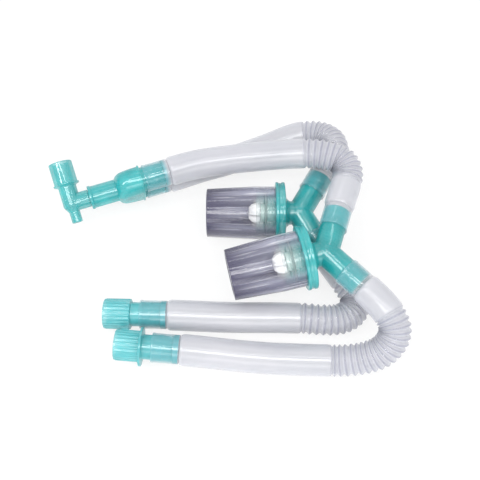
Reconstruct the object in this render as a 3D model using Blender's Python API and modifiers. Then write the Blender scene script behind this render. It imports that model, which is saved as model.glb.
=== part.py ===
"""Anesthesia breathing circuit with two water traps, lying on a table as it would come to rest.

Metres, +Z up. The circuit has two limbs, which run from the two ports of the Y-piece to the two machine
connectors, each through a water trap. The back limb lies on the table and the front limb lies over it.
Every turned piece is drawn about its own Z axis and carried into place by the empty it is parented to.
"""

import math

import bmesh
import bpy
from mathutils import Matrix, Vector

FIT = 0.0003  # gap between two pieces that seat on each other
OVERLAP = 0.001  # how far a joined solid or a cutter runs past the face it meets
EDGE = 0.0008  # rounding of a large moulded edge
SMALL_EDGE = 0.0005  # rounding of a small one

ROUND = 24  # sides of a turned piece
SLIM = 16  # sides of a port, an arm or a bore
HOSE_RESOLUTION = 4
HOSE_SIDES = 4 + 2 * HOSE_RESOLUTION
COIL_RESOLUTION = 0

# 22 mm ports, which a hose's cuff is pushed over
PORT_OUTER_R = 0.0107
PORT_BORE_R = 0.0092
PORT_LENGTH = 0.0185
SHOULDER_R = 0.0114

# 15 mm taper between the elbow and the Y-piece
TAPER_OUTER_R = 0.0073
TAPER_BORE_R = 0.0057
TAPER_LENGTH = 0.014

# Hoses
HOSE_WALL = 0.0012
HOSE_OUTER_R = 0.01375
RIDGE_OUTER_R = 0.0142
ROOT_OUTER_R = 0.0118
RIDGE_PITCH = 0.0064
CUFF_LENGTH = 0.021
CUFF_STEP = 0.003
CUFF_OUTER_R = (PORT_OUTER_R + FIT) / math.cos(math.pi / HOSE_SIDES) + HOSE_WALL
BEND_SPACING = 0.0125  # between two rings of a plain stretch
PATIENT_TRAP_SMOOTH = 0.051  # plain length of a hose at its trap, cuff included
MACHINE_TRAP_SMOOTH = 0.052
FRONT_PATIENT_SMOOTH = 0.154
BACK_PATIENT_SMOOTH = 0.166
BACK_MACHINE_SMOOTH = 0.144
FRONT_MACHINE_SMOOTH = 0.1565

# Y-piece
PORT_SPACING = 0.0285
Y_BODY_R = 0.0129
Y_BODY_START_R = 0.0087
Y_BODY_LENGTH = 0.025
Y_WALL = 0.0016
Y_END_WALL = 0.0026
Y_RING_LIP = 0.0010
Y_RING_THICK = 0.0016
Y_NECK = 0.0022
SOCKET_OUTER_R = 0.0105
SOCKET_LENGTH = 0.026
SOCKET_RIM_R = 0.0112
SOCKET_RIM_LENGTH = 0.0032

# Elbow
PATIENT_PORT_R = 0.0110
PATIENT_PORT_BORE_R = 0.0078
PATIENT_PORT_LENGTH = 0.0218
PATIENT_RING_R = 0.0122
PATIENT_RING_THICK = 0.0012
ELBOW_NECK_R = 0.0085
ELBOW_BORE_R = 0.0066
ELBOW_NECK_LENGTH = 0.0176
ELBOW_ARM_R = 0.0083
ELBOW_ARM_LENGTH = 0.0168
SAMPLE_PORT_R = 0.0050
SAMPLE_BORE_R = 0.0034
SAMPLE_PORT_REACH = 0.0190
ELBOW_CHAMFER_TOP = 0.0030
ELBOW_CHAMFER_END = 0.0086
ELBOW_BORE_END = 0.0035
ELBOW_RING_FLARE = 0.0015

# Water-trap lid, measured down the cup's axis from where the three ways meet
ARM_TILT = math.radians(59.5)
ARM_LENGTH = 0.024
KNUCKLE_R = 0.0119
KNUCKLE_BORE_R = 0.0097
LID_NECK_R = 0.0110
LID_CHAMBER_R = 0.0090
LID_FLARE = 0.0030
LID_CONE = 0.0018
FLANGE_DROP = 0.0137
FLANGE_THICK = 0.0084
FLANGE_R = 0.0287
FLANGE_BEAD = 0.0024
FLANGE_GROOVE = 0.0008
LID_ROOF = 0.0048
SKIRT_R = 0.0222
SKIRT_WALL = 0.0030
SKIRT_LENGTH = 0.018
SEAL_DROP = 0.0094  # from the flange's underside to the seal's middle
SEAL_WIRE_R = 0.0008
SEAL_SEAT_DEPTH = 0.0003
VALVE_TUBE_R = 0.0082
VALVE_TUBE_BORE_R = 0.0068
VALVE_TUBE_LENGTH = 0.0135
SEAT_THICK = 0.0016
SEAT_DROP = 0.0010  # from the lid's roof to the underside of the valve's seat
SEAT_HOLE_R = 0.0042

# Water-trap cup
CUP_WALL = 0.0018
CUP_FLOOR = 0.0020
CUP_BASE_R = 0.0224
CUP_LENGTH = 0.0635
CUP_COLLAR = 0.019
CUP_CORNER = 0.0015
POST_R = 0.0030

# Valve of each trap
STEM_R = 0.0022
FOOT_R = 0.0090
FOOT_LOBE = 0.0013
FOOT_LOBES = 6
FOOT_THICK = 0.0110
FOOT_TAPER = 0.82
VALVE_LIFT = 0.0043
VALVE_SEAL_R = 0.0070
VALVE_SEAL_THICK = 0.0014
HEAD_R = 0.0036
HEAD_THICK = 0.0018
COLLAR_R = 0.0034
COLLAR_THICK = 0.0013
STEM_ROOT = 0.0020  # how far the stem runs into its foot
SPRING_R = 0.0045
SPRING_WIRE_R = 0.00045
SPRING_TURNS = 5
SPRING_POINTS_PER_TURN = 8

# Machine connectors
DRUM_R = 0.0135
DRUM_GROOVE = 0.0007
DRUM_RIBS = 24
DRUM_LENGTH = 0.0240
DRUM_RIM = 0.0014
DRUM_WALL = 0.0020  # from the grip's outside to the core that it is joined to
SOCKET_22_R = 0.0112
SOCKET_22_END_R = 0.0110
SOCKET_22_DEPTH = 0.0190
SOCKET_22_STEP = 0.0015
CONNECTOR_NECK = 0.0075
CONNECTOR_RING_R = 0.0170
CONNECTOR_RING_THICK = 0.0022
CONNECTOR_RING_SETBACK = 0.0003
LUG_WIDTH = 0.0030
LUG_LENGTH = 0.0070
LUG_REACH = 0.0030
LUG_ROOT = 0.0015
LUG_SETBACK = 0.0007

# Where the fittings lie
Y_PLACE = Vector((-0.0940, 0.0460, 0.0293))
Y_YAW = math.radians(19.5)
Y_ROLL = math.radians(68.0)
ELBOW_RISE = math.radians(28.0)
BACK_TRAP_PLACE = Vector((0.0550, 0.0125, FLANGE_R + FIT))
BACK_TRAP_TURN = tuple(math.radians(a) for a in (0.0, 0.0, 11.0))
FRONT_TRAP_PLACE = Vector((0.0744, -0.0434, 0.0530))
FRONT_TRAP_TURN = tuple(math.radians(a) for a in (12.6, 4.0, 4.5))
BACK_CONNECTOR_PLACE = Vector((-0.1202, -0.0835, RIDGE_OUTER_R))
BACK_CONNECTOR_TURN = (math.radians(-1.5), 0.0)
FRONT_CONNECTOR_PLACE = Vector((-0.1077, -0.1144, CONNECTOR_RING_R + OVERLAP))
FRONT_CONNECTOR_TURN = (math.radians(-4.2), math.radians(-2.0))

# Places that each hose passes through between its two fittings
FRONT_PATIENT_STOPS = [
    (-0.0400, 0.0560, 0.0460), (-0.0080, 0.0580, 0.0510), (0.0230, 0.0575, 0.0570), (0.0540, 0.0550, 0.0640),
    (0.0720, 0.0530, 0.0663), (0.0858, 0.0494, 0.0664), (0.0918, 0.0463, 0.0659), (0.0961, 0.0410, 0.0648),
    (0.0980, 0.0346, 0.0632), (0.0973, 0.0278, 0.0617),
]
BACK_PATIENT_STOPS = [
    (-0.0395, 0.0712, 0.0170), (-0.0129, 0.0796, 0.0180), (0.0298, 0.0934, 0.0240), (0.0496, 0.1000, 0.0285),
    (0.0620, 0.1018, 0.0313), (0.0731, 0.1007, 0.0335), (0.0810, 0.0976, 0.0352), (0.0872, 0.0918, 0.0370),
    (0.0907, 0.0841, 0.0384), (0.0910, 0.0756, 0.0389), (0.0884, 0.0684, 0.0388),
]
FRONT_MACHINE_STOPS = [
    (0.1195, -0.0926, 0.0510), (0.1254, -0.1015, 0.0496), (0.1289, -0.1090, 0.0462),
    (0.1291, -0.1149, 0.0415), (0.1258, -0.1207, 0.0350), (0.1186, -0.1255, 0.0280),
    (0.1065, -0.1278, 0.0212), (0.0920, -0.1283, 0.0165), (0.0790, -0.1277, RIDGE_OUTER_R),
    (0.0172, -0.1250, RIDGE_OUTER_R),
]
BACK_MACHINE_STOPS = [
    (0.1015, -0.0645, 0.0165), (0.1030, -0.0735, 0.0148), (0.0997, -0.0818, RIDGE_OUTER_R),
    (0.0921, -0.0876, RIDGE_OUTER_R), (0.0830, -0.0897, RIDGE_OUTER_R), (0.0700, -0.0895, RIDGE_OUTER_R),
    (0.0539, -0.0880, RIDGE_OUTER_R), (-0.0120, -0.0872, RIDGE_OUTER_R),
]

TEAL = (0.03, 0.42, 0.42, 1.0)
PALE_TEAL = (0.10, 0.55, 0.56, 1.0)
HOSE_GREY = (0.55, 0.56, 0.64, 1.0)
SMOKE = (0.16, 0.15, 0.24, 1.0)
WHITE = (0.85, 0.85, 0.88, 1.0)
STEEL = (0.55, 0.55, 0.55, 1.0)
SILICONE = (0.75, 0.78, 0.80, 1.0)
RUBBER = (0.02, 0.02, 0.03, 1.0)


def clear_scene():
    for obj in list(bpy.data.objects):
        bpy.data.objects.remove(obj, do_unlink=True)


def collection_named(name):
    made = bpy.data.collections.new(name)
    bpy.context.scene.collection.children.link(made)
    return made


def material(name, colour, roughness, metallic=0.0, transmission=0.0):
    made = bpy.data.materials.new(name)
    made.use_nodes = True
    shader = made.node_tree.nodes["Principled BSDF"]
    shader.inputs["Base Color"].default_value = colour
    shader.inputs["Roughness"].default_value = roughness
    shader.inputs["Metallic"].default_value = metallic
    shader.inputs["Transmission Weight"].default_value = transmission
    return made


def place_in(obj, parent, collection, skin=None):
    collection.objects.link(obj)
    obj.parent = parent
    if skin:
        obj.data.materials.append(skin)
    return obj


def finish(obj):
    """Shades the round faces smooth and keeps the real edges sharp."""
    obj.data.shade_smooth()
    obj.data.set_sharp_from_angle(angle=math.radians(35.0))
    return obj


def turned(name, profile, steps=ROUND):
    """A solid of revolution about Z. The profile is (radius, height) pairs down its outside, axis to axis."""
    mesh = bpy.data.meshes.new(name)
    mesh.from_pydata([(r, 0.0, z) for r, z in profile], [(i, i + 1) for i in range(len(profile) - 1)], [])
    obj = bpy.data.objects.new(name, mesh)
    screw = obj.modifiers.new("turn", "SCREW")
    screw.steps = steps
    screw.render_steps = steps
    screw.use_merge_vertices = True
    screw.merge_threshold = 0.00001
    screw.use_smooth_shade = True
    return obj


def turned_ring(name, profile, steps=ROUND):
    """A ring about Z, from a closed profile that stays clear of the axis."""
    obj = turned(name, profile, steps)
    mesh = obj.data
    mesh.clear_geometry()
    count = len(profile)
    mesh.from_pydata([(r, 0.0, z) for r, z in profile], [(i, (i + 1) % count) for i in range(count)], [])
    return obj


def mesh_object(name, shape):
    mesh = bpy.data.meshes.new(name)
    bmesh.ops.recalc_face_normals(shape, faces=shape.faces)
    shape.to_mesh(mesh)
    shape.free()
    return bpy.data.objects.new(name, mesh)


def rod(name, radius, start, end, sides=SLIM):
    """A plain cylinder between two points."""
    start, end = Vector(start), Vector(end)
    shape = bmesh.new()
    bmesh.ops.create_cone(shape, cap_ends=True, segments=sides, radius1=radius, radius2=radius,
                          depth=(end - start).length)
    turn = (end - start).to_track_quat("Z", "Y").to_matrix().to_4x4()
    bmesh.ops.transform(shape, matrix=Matrix.Translation((start + end) / 2) @ turn, verts=shape.verts)
    return mesh_object(name, shape)


def ball(name, radius):
    shape = bmesh.new()
    bmesh.ops.create_uvsphere(shape, u_segments=ROUND, v_segments=ROUND // 2, radius=radius)
    return mesh_object(name, shape)


def lofted(name, sections):
    """A closed solid through sections of equal length, each a list of points."""
    shape = bmesh.new()
    rings = [[shape.verts.new(point) for point in section] for section in sections]
    count = len(rings[0])
    for lower, upper in zip(rings, rings[1:]):
        for i in range(count):
            j = (i + 1) % count
            shape.faces.new((lower[i], lower[j], upper[j], upper[i]))
    shape.faces.new(rings[0][::-1])
    shape.faces.new(rings[-1])
    return mesh_object(name, shape)


def stadium(half_spread, radius, height):
    """A flat-sided oval, long along X, at the given height."""
    points = []
    for i in range(ROUND):
        angle = 2 * math.pi * (i + 0.5) / ROUND
        points.append((math.copysign(half_spread, math.cos(angle)) + radius * math.cos(angle),
                       radius * math.sin(angle), height))
    return points


class Workshop:
    """Places pieces and cutters under an empty, and keeps them in their two collections."""

    def __init__(self, name):
        self.parts = collection_named(name)
        self.tools = collection_named(name + "_tools")
        self.skins = {}

    def frame(self, name, matrix):
        empty = bpy.data.objects.new(name, None)
        self.parts.objects.link(empty)
        empty.matrix_world = matrix
        return empty

    def piece(self, obj, parent, skin):
        return place_in(obj, parent, self.parts, self.skins[skin])

    def combine(self, obj, other, operation):
        place_in(other, obj.parent, self.tools)
        other.hide_render = True
        other.display_type = "WIRE"
        modifier = obj.modifiers.new(operation.lower() + " " + other.name, "BOOLEAN")
        modifier.operation = operation
        modifier.solver = "EXACT"
        modifier.object = other

    def join(self, obj, other):
        self.combine(obj, other, "UNION")

    def cut(self, obj, other):
        self.combine(obj, other, "DIFFERENCE")


def frame_matrix(place, x_axis, z_axis):
    y_axis = z_axis.cross(x_axis)
    turn = Matrix((x_axis, y_axis, z_axis)).transposed().to_4x4()
    return Matrix.Translation(place) @ turn


def heading(yaw, rise):
    return Vector((math.cos(rise) * math.cos(yaw), math.cos(rise) * math.sin(yaw), math.sin(rise)))


def lying_frame(place, yaw, rise, roll=0.0):
    """A frame whose Z lies along the heading and whose X is level before it is rolled about Z."""
    along = heading(yaw, rise)
    level = Vector((-math.sin(yaw), math.cos(yaw), 0.0))
    side = math.cos(roll) * level + math.sin(roll) * along.cross(level)
    return frame_matrix(place, side, along)


def y_frame():
    """Z runs from the patient's side to the hoses, and X from the lower port to the upper one."""
    along = heading(Y_YAW, 0.0)
    level = Vector((-math.sin(Y_YAW), math.cos(Y_YAW), 0.0))
    across = -math.cos(Y_ROLL) * level + math.sin(Y_ROLL) * Vector((0.0, 0.0, 1.0))
    return frame_matrix(Y_PLACE, across, along)


def elbow_frame():
    """Z runs up the patient port and X along the swivel axis towards the Y-piece."""
    along = heading(Y_YAW, 0.0)
    level = Vector((-math.sin(Y_YAW), math.cos(Y_YAW), 0.0))
    port = math.cos(ELBOW_RISE) * level + math.sin(ELBOW_RISE) * Vector((0.0, 0.0, 1.0))
    behind = Y_BODY_LENGTH + SOCKET_LENGTH + FIT + ELBOW_ARM_LENGTH
    return frame_matrix(Y_PLACE - behind * along, along, port)


def y_piece(shop, frame):
    half = PORT_SPACING / 2
    start = -Y_BODY_LENGTH

    def shell(inset, low, high):
        sections = []
        steps = 6
        for i in range(steps + 1):
            share = (i / steps) ** 2
            widen = math.sqrt(1 - (1 - share) ** 2)
            swell = math.sqrt(1 - (1 - min(1.0, 3 * share)) ** 2)
            radius = Y_BODY_START_R + (Y_BODY_R - Y_BODY_START_R) * swell - inset
            sections.append(stadium(half * widen, radius, low + (high - low) * share))
        return sections

    body = shop.piece(lofted("y_piece", shell(0.0, start, -Y_RING_THICK / 2)), frame, "teal")
    ring = [stadium(half, Y_BODY_R + Y_RING_LIP, z) for z in (-Y_RING_THICK, 0.0)]
    shop.join(body, lofted("y_ring", ring))
    socket = [
        (0.0, start + 2 * OVERLAP), (SOCKET_OUTER_R, start + 2 * OVERLAP),
        (SOCKET_OUTER_R, start - SOCKET_LENGTH + SOCKET_RIM_LENGTH),
        (SOCKET_RIM_R, start - SOCKET_LENGTH + 0.8 * SOCKET_RIM_LENGTH),
        (SOCKET_RIM_R, start - SOCKET_LENGTH), (0.0, start - SOCKET_LENGTH),
    ]
    shop.join(body, turned("y_socket", socket))
    port_profile = [
        (0.0, Y_NECK + PORT_LENGTH), (PORT_OUTER_R, Y_NECK + PORT_LENGTH), (PORT_OUTER_R, Y_NECK),
        (SHOULDER_R, Y_NECK), (SHOULDER_R, -OVERLAP), (0.0, -OVERLAP),
    ]
    for name, side in (("upper", 1), ("lower", -1)):
        port = turned(f"y_{name}_port", port_profile, SLIM)
        port.location.x = side * half
        shop.join(body, port)
    shop.cut(body, lofted("y_hollow", shell(Y_WALL, start + Y_WALL, -Y_END_WALL)))
    bore = (TAPER_OUTER_R + FIT) / math.cos(math.pi / SLIM)
    mouth = start - SOCKET_LENGTH - OVERLAP
    shop.cut(body, rod("y_socket_bore", bore, (0, 0, mouth), (0, 0, start + 4 * OVERLAP)))
    for name, side in (("upper", 1), ("lower", -1)):
        foot, top = -Y_END_WALL - 2 * OVERLAP, Y_NECK + PORT_LENGTH + OVERLAP
        shop.cut(body, rod(f"y_{name}_bore", PORT_BORE_R, (side * half, 0, foot), (side * half, 0, top)))
    return body


def y_port_frame(frame, side):
    """Where a hose starts on the Y-piece, and which way it leaves."""
    matrix = frame.matrix_world
    start = matrix @ Vector((side * PORT_SPACING / 2, 0.0, Y_NECK + FIT))
    return start, matrix.col[2].to_3d()


def elbow(shop, frame):
    top = ELBOW_NECK_LENGTH + PATIENT_PORT_LENGTH
    outer = [
        (0.0, top), (PATIENT_PORT_R, top), (PATIENT_PORT_R, ELBOW_NECK_LENGTH + PATIENT_RING_THICK),
        (PATIENT_RING_R, ELBOW_NECK_LENGTH + PATIENT_RING_THICK), (PATIENT_RING_R, ELBOW_NECK_LENGTH),
        (ELBOW_NECK_R, ELBOW_NECK_LENGTH - ELBOW_RING_FLARE), (ELBOW_NECK_R, -ELBOW_CHAMFER_TOP),
        (SAMPLE_PORT_R, -ELBOW_CHAMFER_END), (SAMPLE_PORT_R, -SAMPLE_PORT_REACH), (0.0, -SAMPLE_PORT_REACH),
    ]
    body = shop.piece(turned("elbow", outer), frame, "teal")
    arm_end = ELBOW_ARM_LENGTH
    shop.join(body, rod("elbow_arm", ELBOW_ARM_R, (0, 0, 0), (arm_end, 0, 0)))
    taper_end = arm_end + TAPER_LENGTH
    shop.join(body, rod("elbow_taper", TAPER_OUTER_R, (arm_end - 2 * OVERLAP, 0, 0), (taper_end, 0, 0)))
    way = [
        (0.0, top + OVERLAP), (PATIENT_PORT_BORE_R, top + OVERLAP),
        (PATIENT_PORT_BORE_R, ELBOW_NECK_LENGTH + PATIENT_RING_THICK),
        (ELBOW_BORE_R, ELBOW_NECK_LENGTH - EDGE), (ELBOW_BORE_R, -ELBOW_BORE_END),
        (SAMPLE_BORE_R, -ELBOW_CHAMFER_END), (SAMPLE_BORE_R, -SAMPLE_PORT_REACH - OVERLAP),
        (0.0, -SAMPLE_PORT_REACH - OVERLAP),
    ]
    shop.cut(body, turned("elbow_way", way))
    shop.cut(body, rod("elbow_side_way", TAPER_BORE_R, (0, 0, 0), (taper_end + OVERLAP, 0, 0)))
    return body


def arm_way(side):
    return Vector((side * math.sin(ARM_TILT), 0.0, math.cos(ARM_TILT)))


def trap_lid(shop, frame, name):
    top = -FLANGE_DROP
    crown = top + LID_CONE
    under = top - FLANGE_THICK
    groove_r = FLANGE_R - FLANGE_GROOVE
    roof = top - LID_ROOF
    seat_under = roof - SEAT_DROP
    seal_z = under - SEAL_DROP
    seat_half = SEAL_WIRE_R + FIT
    skirt_end = under - SKIRT_LENGTH
    seal_floor = seal_major() - SEAL_WIRE_R - FIT
    tube_end = under - VALVE_TUBE_LENGTH
    profile = [
        (0.0, 0.0), (LID_NECK_R, 0.0), (LID_NECK_R, crown + LID_FLARE), (LID_NECK_R + EDGE, crown + EDGE),
        (LID_NECK_R + LID_FLARE, crown), (FLANGE_R - EDGE, top), (FLANGE_R, top - EDGE),
        (FLANGE_R, top - FLANGE_BEAD), (groove_r, top - FLANGE_BEAD - FLANGE_GROOVE),
        (groove_r, under + FLANGE_BEAD + FLANGE_GROOVE), (FLANGE_R, under + FLANGE_BEAD),
        (FLANGE_R, under + EDGE), (FLANGE_R - EDGE, under), (SKIRT_R, under),
        (SKIRT_R, seal_z + seat_half), (seal_floor, seal_z + seat_half), (seal_floor, seal_z - seat_half),
        (SKIRT_R, seal_z - seat_half), (SKIRT_R, skirt_end + EDGE), (SKIRT_R - EDGE, skirt_end),
        (SKIRT_R - SKIRT_WALL, skirt_end), (SKIRT_R - SKIRT_WALL, roof), (VALVE_TUBE_R, roof),
        (VALVE_TUBE_R, tube_end), (VALVE_TUBE_BORE_R, tube_end), (VALVE_TUBE_BORE_R, seat_under),
        (0.0, seat_under),
    ]
    lid = shop.piece(turned(name + "_trap_lid", profile), frame, "teal")
    shop.join(lid, ball(name + "_lid_knuckle", KNUCKLE_R))
    for arm, side in (("patient", 1), ("machine", -1)):
        way = arm_way(side)
        shop.join(lid, rod(f"{name}_lid_{arm}_arm", SHOULDER_R, (0, 0, 0), ARM_LENGTH * way))
        port_start, port_end = (ARM_LENGTH - 2 * OVERLAP) * way, (ARM_LENGTH + PORT_LENGTH) * way
        shop.join(lid, rod(f"{name}_lid_{arm}_port", PORT_OUTER_R, port_start, port_end))
    seat_top = seat_under + SEAT_THICK
    chamber = [
        (0.0, OVERLAP), (LID_CHAMBER_R, OVERLAP), (LID_CHAMBER_R, seat_top), (SEAT_HOLE_R, seat_top),
        (SEAT_HOLE_R, seat_under - OVERLAP), (0.0, seat_under - OVERLAP),
    ]
    shop.cut(lid, turned(name + "_lid_chamber", chamber))
    shop.cut(lid, ball(name + "_lid_knuckle_bore", KNUCKLE_BORE_R))
    for arm, side in (("patient", 1), ("machine", -1)):
        end = (ARM_LENGTH + PORT_LENGTH + OVERLAP) * arm_way(side)
        shop.cut(lid, rod(f"{name}_lid_{arm}_bore", PORT_BORE_R, (0, 0, 0), end))
    return lid


def cup_bore():
    """The cup's inner radius at its mouth, clear of the lid's skirt."""
    return (SKIRT_R + 2 * FIT) / math.cos(math.pi / ROUND)


def seal_major():
    """The seal's mean radius, so that it just clears the flat sides of the cup's bore."""
    return SKIRT_R + FIT - SEAL_WIRE_R - SEAL_SEAT_DEPTH / 2


def foot_top():
    return -FLANGE_DROP - FLANGE_THICK - VALVE_TUBE_LENGTH - FIT


def trap_cup(shop, frame, name):
    mouth = -FLANGE_DROP - FLANGE_THICK - FIT
    base = mouth - CUP_LENGTH
    floor = base + CUP_FLOOR
    bore = cup_bore()
    outer = bore + CUP_WALL
    inner_base = CUP_BASE_R - CUP_WALL
    post_top = foot_top() - FOOT_THICK - FIT
    profile = [
        (0.0, post_top), (POST_R - SMALL_EDGE, post_top), (POST_R, post_top - SMALL_EDGE),
        (POST_R, floor + EDGE), (POST_R + EDGE, floor), (inner_base - CUP_CORNER, floor),
        (inner_base, floor + CUP_CORNER),
        (bore, mouth - CUP_COLLAR), (bore, mouth), (outer, mouth), (outer, mouth - CUP_COLLAR),
        (CUP_BASE_R, base + CUP_CORNER), (CUP_BASE_R - 0.3 * CUP_CORNER, base + 0.3 * CUP_CORNER),
        (CUP_BASE_R - CUP_CORNER, base), (0.0, base),
    ]
    return shop.piece(turned(name + "_trap_cup", profile), frame, "smoke")


def cup_seal(shop, frame, name):
    middle = -FLANGE_DROP - FLANGE_THICK - SEAL_DROP
    profile = []
    for i in range(6):
        angle = -2 * math.pi * i / 6
        profile.append((seal_major() + SEAL_WIRE_R * math.cos(angle), middle + SEAL_WIRE_R * math.sin(angle)))
    return shop.piece(turned_ring(name + "_cup_seal", profile), frame, "rubber")


def valve_heights():
    """Heights on the valve: the seal's underside and the collar's."""
    seat_top = -FLANGE_DROP - LID_ROOF - SEAT_DROP + SEAT_THICK
    return seat_top + VALVE_LIFT, seat_top + VALVE_LIFT - FIT - COLLAR_THICK


def valve_plunger(shop, frame, name):
    seal_under, collar_under = valve_heights()
    head_under = seal_under + VALVE_SEAL_THICK + FIT
    head_top = head_under + HEAD_THICK
    profile = [
        (0.0, head_top), (HEAD_R - SMALL_EDGE, head_top), (HEAD_R, head_top - SMALL_EDGE),
        (HEAD_R, head_under), (STEM_R, head_under), (STEM_R, seal_under - FIT), (COLLAR_R, seal_under - FIT),
        (COLLAR_R, collar_under), (STEM_R, collar_under - EDGE), (STEM_R, foot_top() - STEM_ROOT),
        (0.0, foot_top() - STEM_ROOT),
    ]
    plunger = shop.piece(turned(name + "_valve_plunger", profile, 16), frame, "white")
    shop.join(plunger, lobed_foot(name + "_valve_foot"))
    return plunger


def lobed_foot(name):
    """The star-shaped foot that the cup's post pushes up."""
    sides = 6 * FOOT_LOBES
    shape = bmesh.new()
    bmesh.ops.create_cone(shape, cap_ends=True, segments=sides, radius1=FOOT_TAPER, radius2=1.0,
                          depth=FOOT_THICK)
    for vert in shape.verts:
        angle = math.atan2(vert.co.y, vert.co.x)
        radius = FOOT_R + FOOT_LOBE * math.cos(FOOT_LOBES * angle)
        vert.co.x *= radius
        vert.co.y *= radius
    bmesh.ops.translate(shape, vec=(0, 0, foot_top() - FOOT_THICK / 2), verts=shape.verts)
    return mesh_object(name, shape)


def valve_seal(shop, frame, name):
    under = valve_heights()[0]
    inner = (STEM_R + FIT) / math.cos(math.pi / 16)
    profile = [
        (inner, under + VALVE_SEAL_THICK), (VALVE_SEAL_R - SMALL_EDGE, under + VALVE_SEAL_THICK),
        (VALVE_SEAL_R, under + VALVE_SEAL_THICK / 2), (VALVE_SEAL_R - SMALL_EDGE, under), (inner, under),
    ]
    return shop.piece(turned_ring(name + "_valve_seal", profile, 16), frame, "silicone")


def valve_spring(shop, frame, name):
    """A coil between the underside of the valve's seat and the plunger's foot."""
    top = -FLANGE_DROP - LID_ROOF - SEAT_DROP - FIT - SPRING_WIRE_R
    bottom = foot_top() + FIT + SPRING_WIRE_R
    curve = bpy.data.curves.new(name + "_valve_spring", "CURVE")
    curve.dimensions = "3D"
    curve.bevel_depth = SPRING_WIRE_R
    curve.bevel_resolution = COIL_RESOLUTION
    curve.use_fill_caps = True
    count = SPRING_TURNS * SPRING_POINTS_PER_TURN + 1
    spline = curve.splines.new("POLY")
    spline.points.add(count - 1)
    for i, point in enumerate(spline.points):
        angle = 2 * math.pi * i / SPRING_POINTS_PER_TURN
        height = top + (bottom - top) * i / (count - 1)
        point.co = (SPRING_R * math.cos(angle), SPRING_R * math.sin(angle), height, 1.0)
    return shop.piece(bpy.data.objects.new(name + "_valve_spring", curve), frame, "steel")


def water_trap(shop, name, matrix):
    frame = shop.frame(name + "_trap", matrix)
    for make in (trap_lid, trap_cup, cup_seal, valve_plunger, valve_seal, valve_spring):
        make(shop, frame, name)
    return frame


def trap_port(frame, side):
    way = (frame.matrix_world.to_3x3() @ arm_way(side)).normalized()
    return frame.matrix_world.translation + (ARM_LENGTH + FIT) * way, way


def ribbed_drum(name):
    """The grip of a machine connector: a drum whose outline goes up and down over its ribs."""
    shape = bmesh.new()
    bmesh.ops.create_cone(shape, cap_ends=True, segments=2 * DRUM_RIBS, radius1=DRUM_R, radius2=DRUM_R,
                          depth=DRUM_LENGTH - DRUM_RIM)
    share = (DRUM_R - DRUM_GROOVE) / DRUM_R
    for vert in shape.verts:
        turn = math.atan2(vert.co.y, vert.co.x) / (math.pi / DRUM_RIBS)
        if round(turn) % 2:
            vert.co.x *= share
            vert.co.y *= share
    bmesh.ops.translate(shape, vec=(0, 0, (DRUM_LENGTH + DRUM_RIM) / 2), verts=shape.verts)
    return mesh_object(name, shape)


def machine_connector(shop, name, matrix):
    """A 22 mm socket with a ribbed grip, and the port that its hose is pushed over."""
    frame = shop.frame(name + "_connector_place", matrix)
    hose_face = DRUM_LENGTH + CONNECTOR_NECK
    rim_r = DRUM_R - DRUM_GROOVE / 2
    core_r = rim_r - DRUM_WALL
    core = [
        (0.0, hose_face + PORT_LENGTH), (PORT_OUTER_R, hose_face + PORT_LENGTH),
        (PORT_OUTER_R, DRUM_LENGTH - EDGE), (core_r, DRUM_LENGTH - EDGE), (core_r, DRUM_RIM + EDGE),
        (rim_r, DRUM_RIM + EDGE), (rim_r, 0.0), (0.0, 0.0),
    ]
    body = shop.piece(turned(name + "_machine_connector", core), frame, "pale teal")
    shop.join(body, ribbed_drum(name + "_drum"))
    bore = [
        (0.0, hose_face + PORT_LENGTH + OVERLAP), (PORT_BORE_R, hose_face + PORT_LENGTH + OVERLAP),
        (PORT_BORE_R, SOCKET_22_DEPTH + SOCKET_22_STEP), (SOCKET_22_END_R, SOCKET_22_DEPTH),
        (SOCKET_22_R, -OVERLAP), (0.0, -OVERLAP),
    ]
    return frame, body, turned(name + "_connector_bore", bore)


def back_connector(shop):
    """It carries a small lug beside its grip."""
    matrix = lying_frame(BACK_CONNECTOR_PLACE, *BACK_CONNECTOR_TURN)
    frame, body, bore = machine_connector(shop, "back", matrix)
    shape = bmesh.new()
    inner = DRUM_R - LUG_ROOT
    bmesh.ops.create_cube(shape, size=1.0)
    bmesh.ops.scale(shape, vec=(LUG_REACH + DRUM_R - inner, LUG_WIDTH, LUG_LENGTH), verts=shape.verts)
    middle = -(inner + DRUM_R + LUG_REACH) / 2
    bmesh.ops.translate(shape, vec=(middle, 0, DRUM_LENGTH - LUG_LENGTH / 2 - LUG_SETBACK), verts=shape.verts)
    shop.join(body, mesh_object("back_lug", shape))
    shop.cut(body, bore)
    return frame


def front_connector(shop):
    """It ends in a thin ring that stands out past its grip."""
    matrix = lying_frame(FRONT_CONNECTOR_PLACE, *FRONT_CONNECTOR_TURN)
    frame, body, bore = machine_connector(shop, "front", matrix)
    high = DRUM_LENGTH - CONNECTOR_RING_SETBACK
    low = high - CONNECTOR_RING_THICK
    ring = [
        (0.0, high), (CONNECTOR_RING_R - SMALL_EDGE, high), (CONNECTOR_RING_R, high - SMALL_EDGE),
        (CONNECTOR_RING_R, low + SMALL_EDGE), (CONNECTOR_RING_R - SMALL_EDGE, low), (0.0, low),
    ]
    shop.join(body, turned("front_ring", ring))
    shop.cut(body, bore)
    return frame


def connector_port(frame):
    way = frame.matrix_world.col[2].to_3d()
    reach = DRUM_LENGTH + CONNECTOR_NECK + FIT
    return frame.matrix_world.translation + reach * way, way


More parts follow.
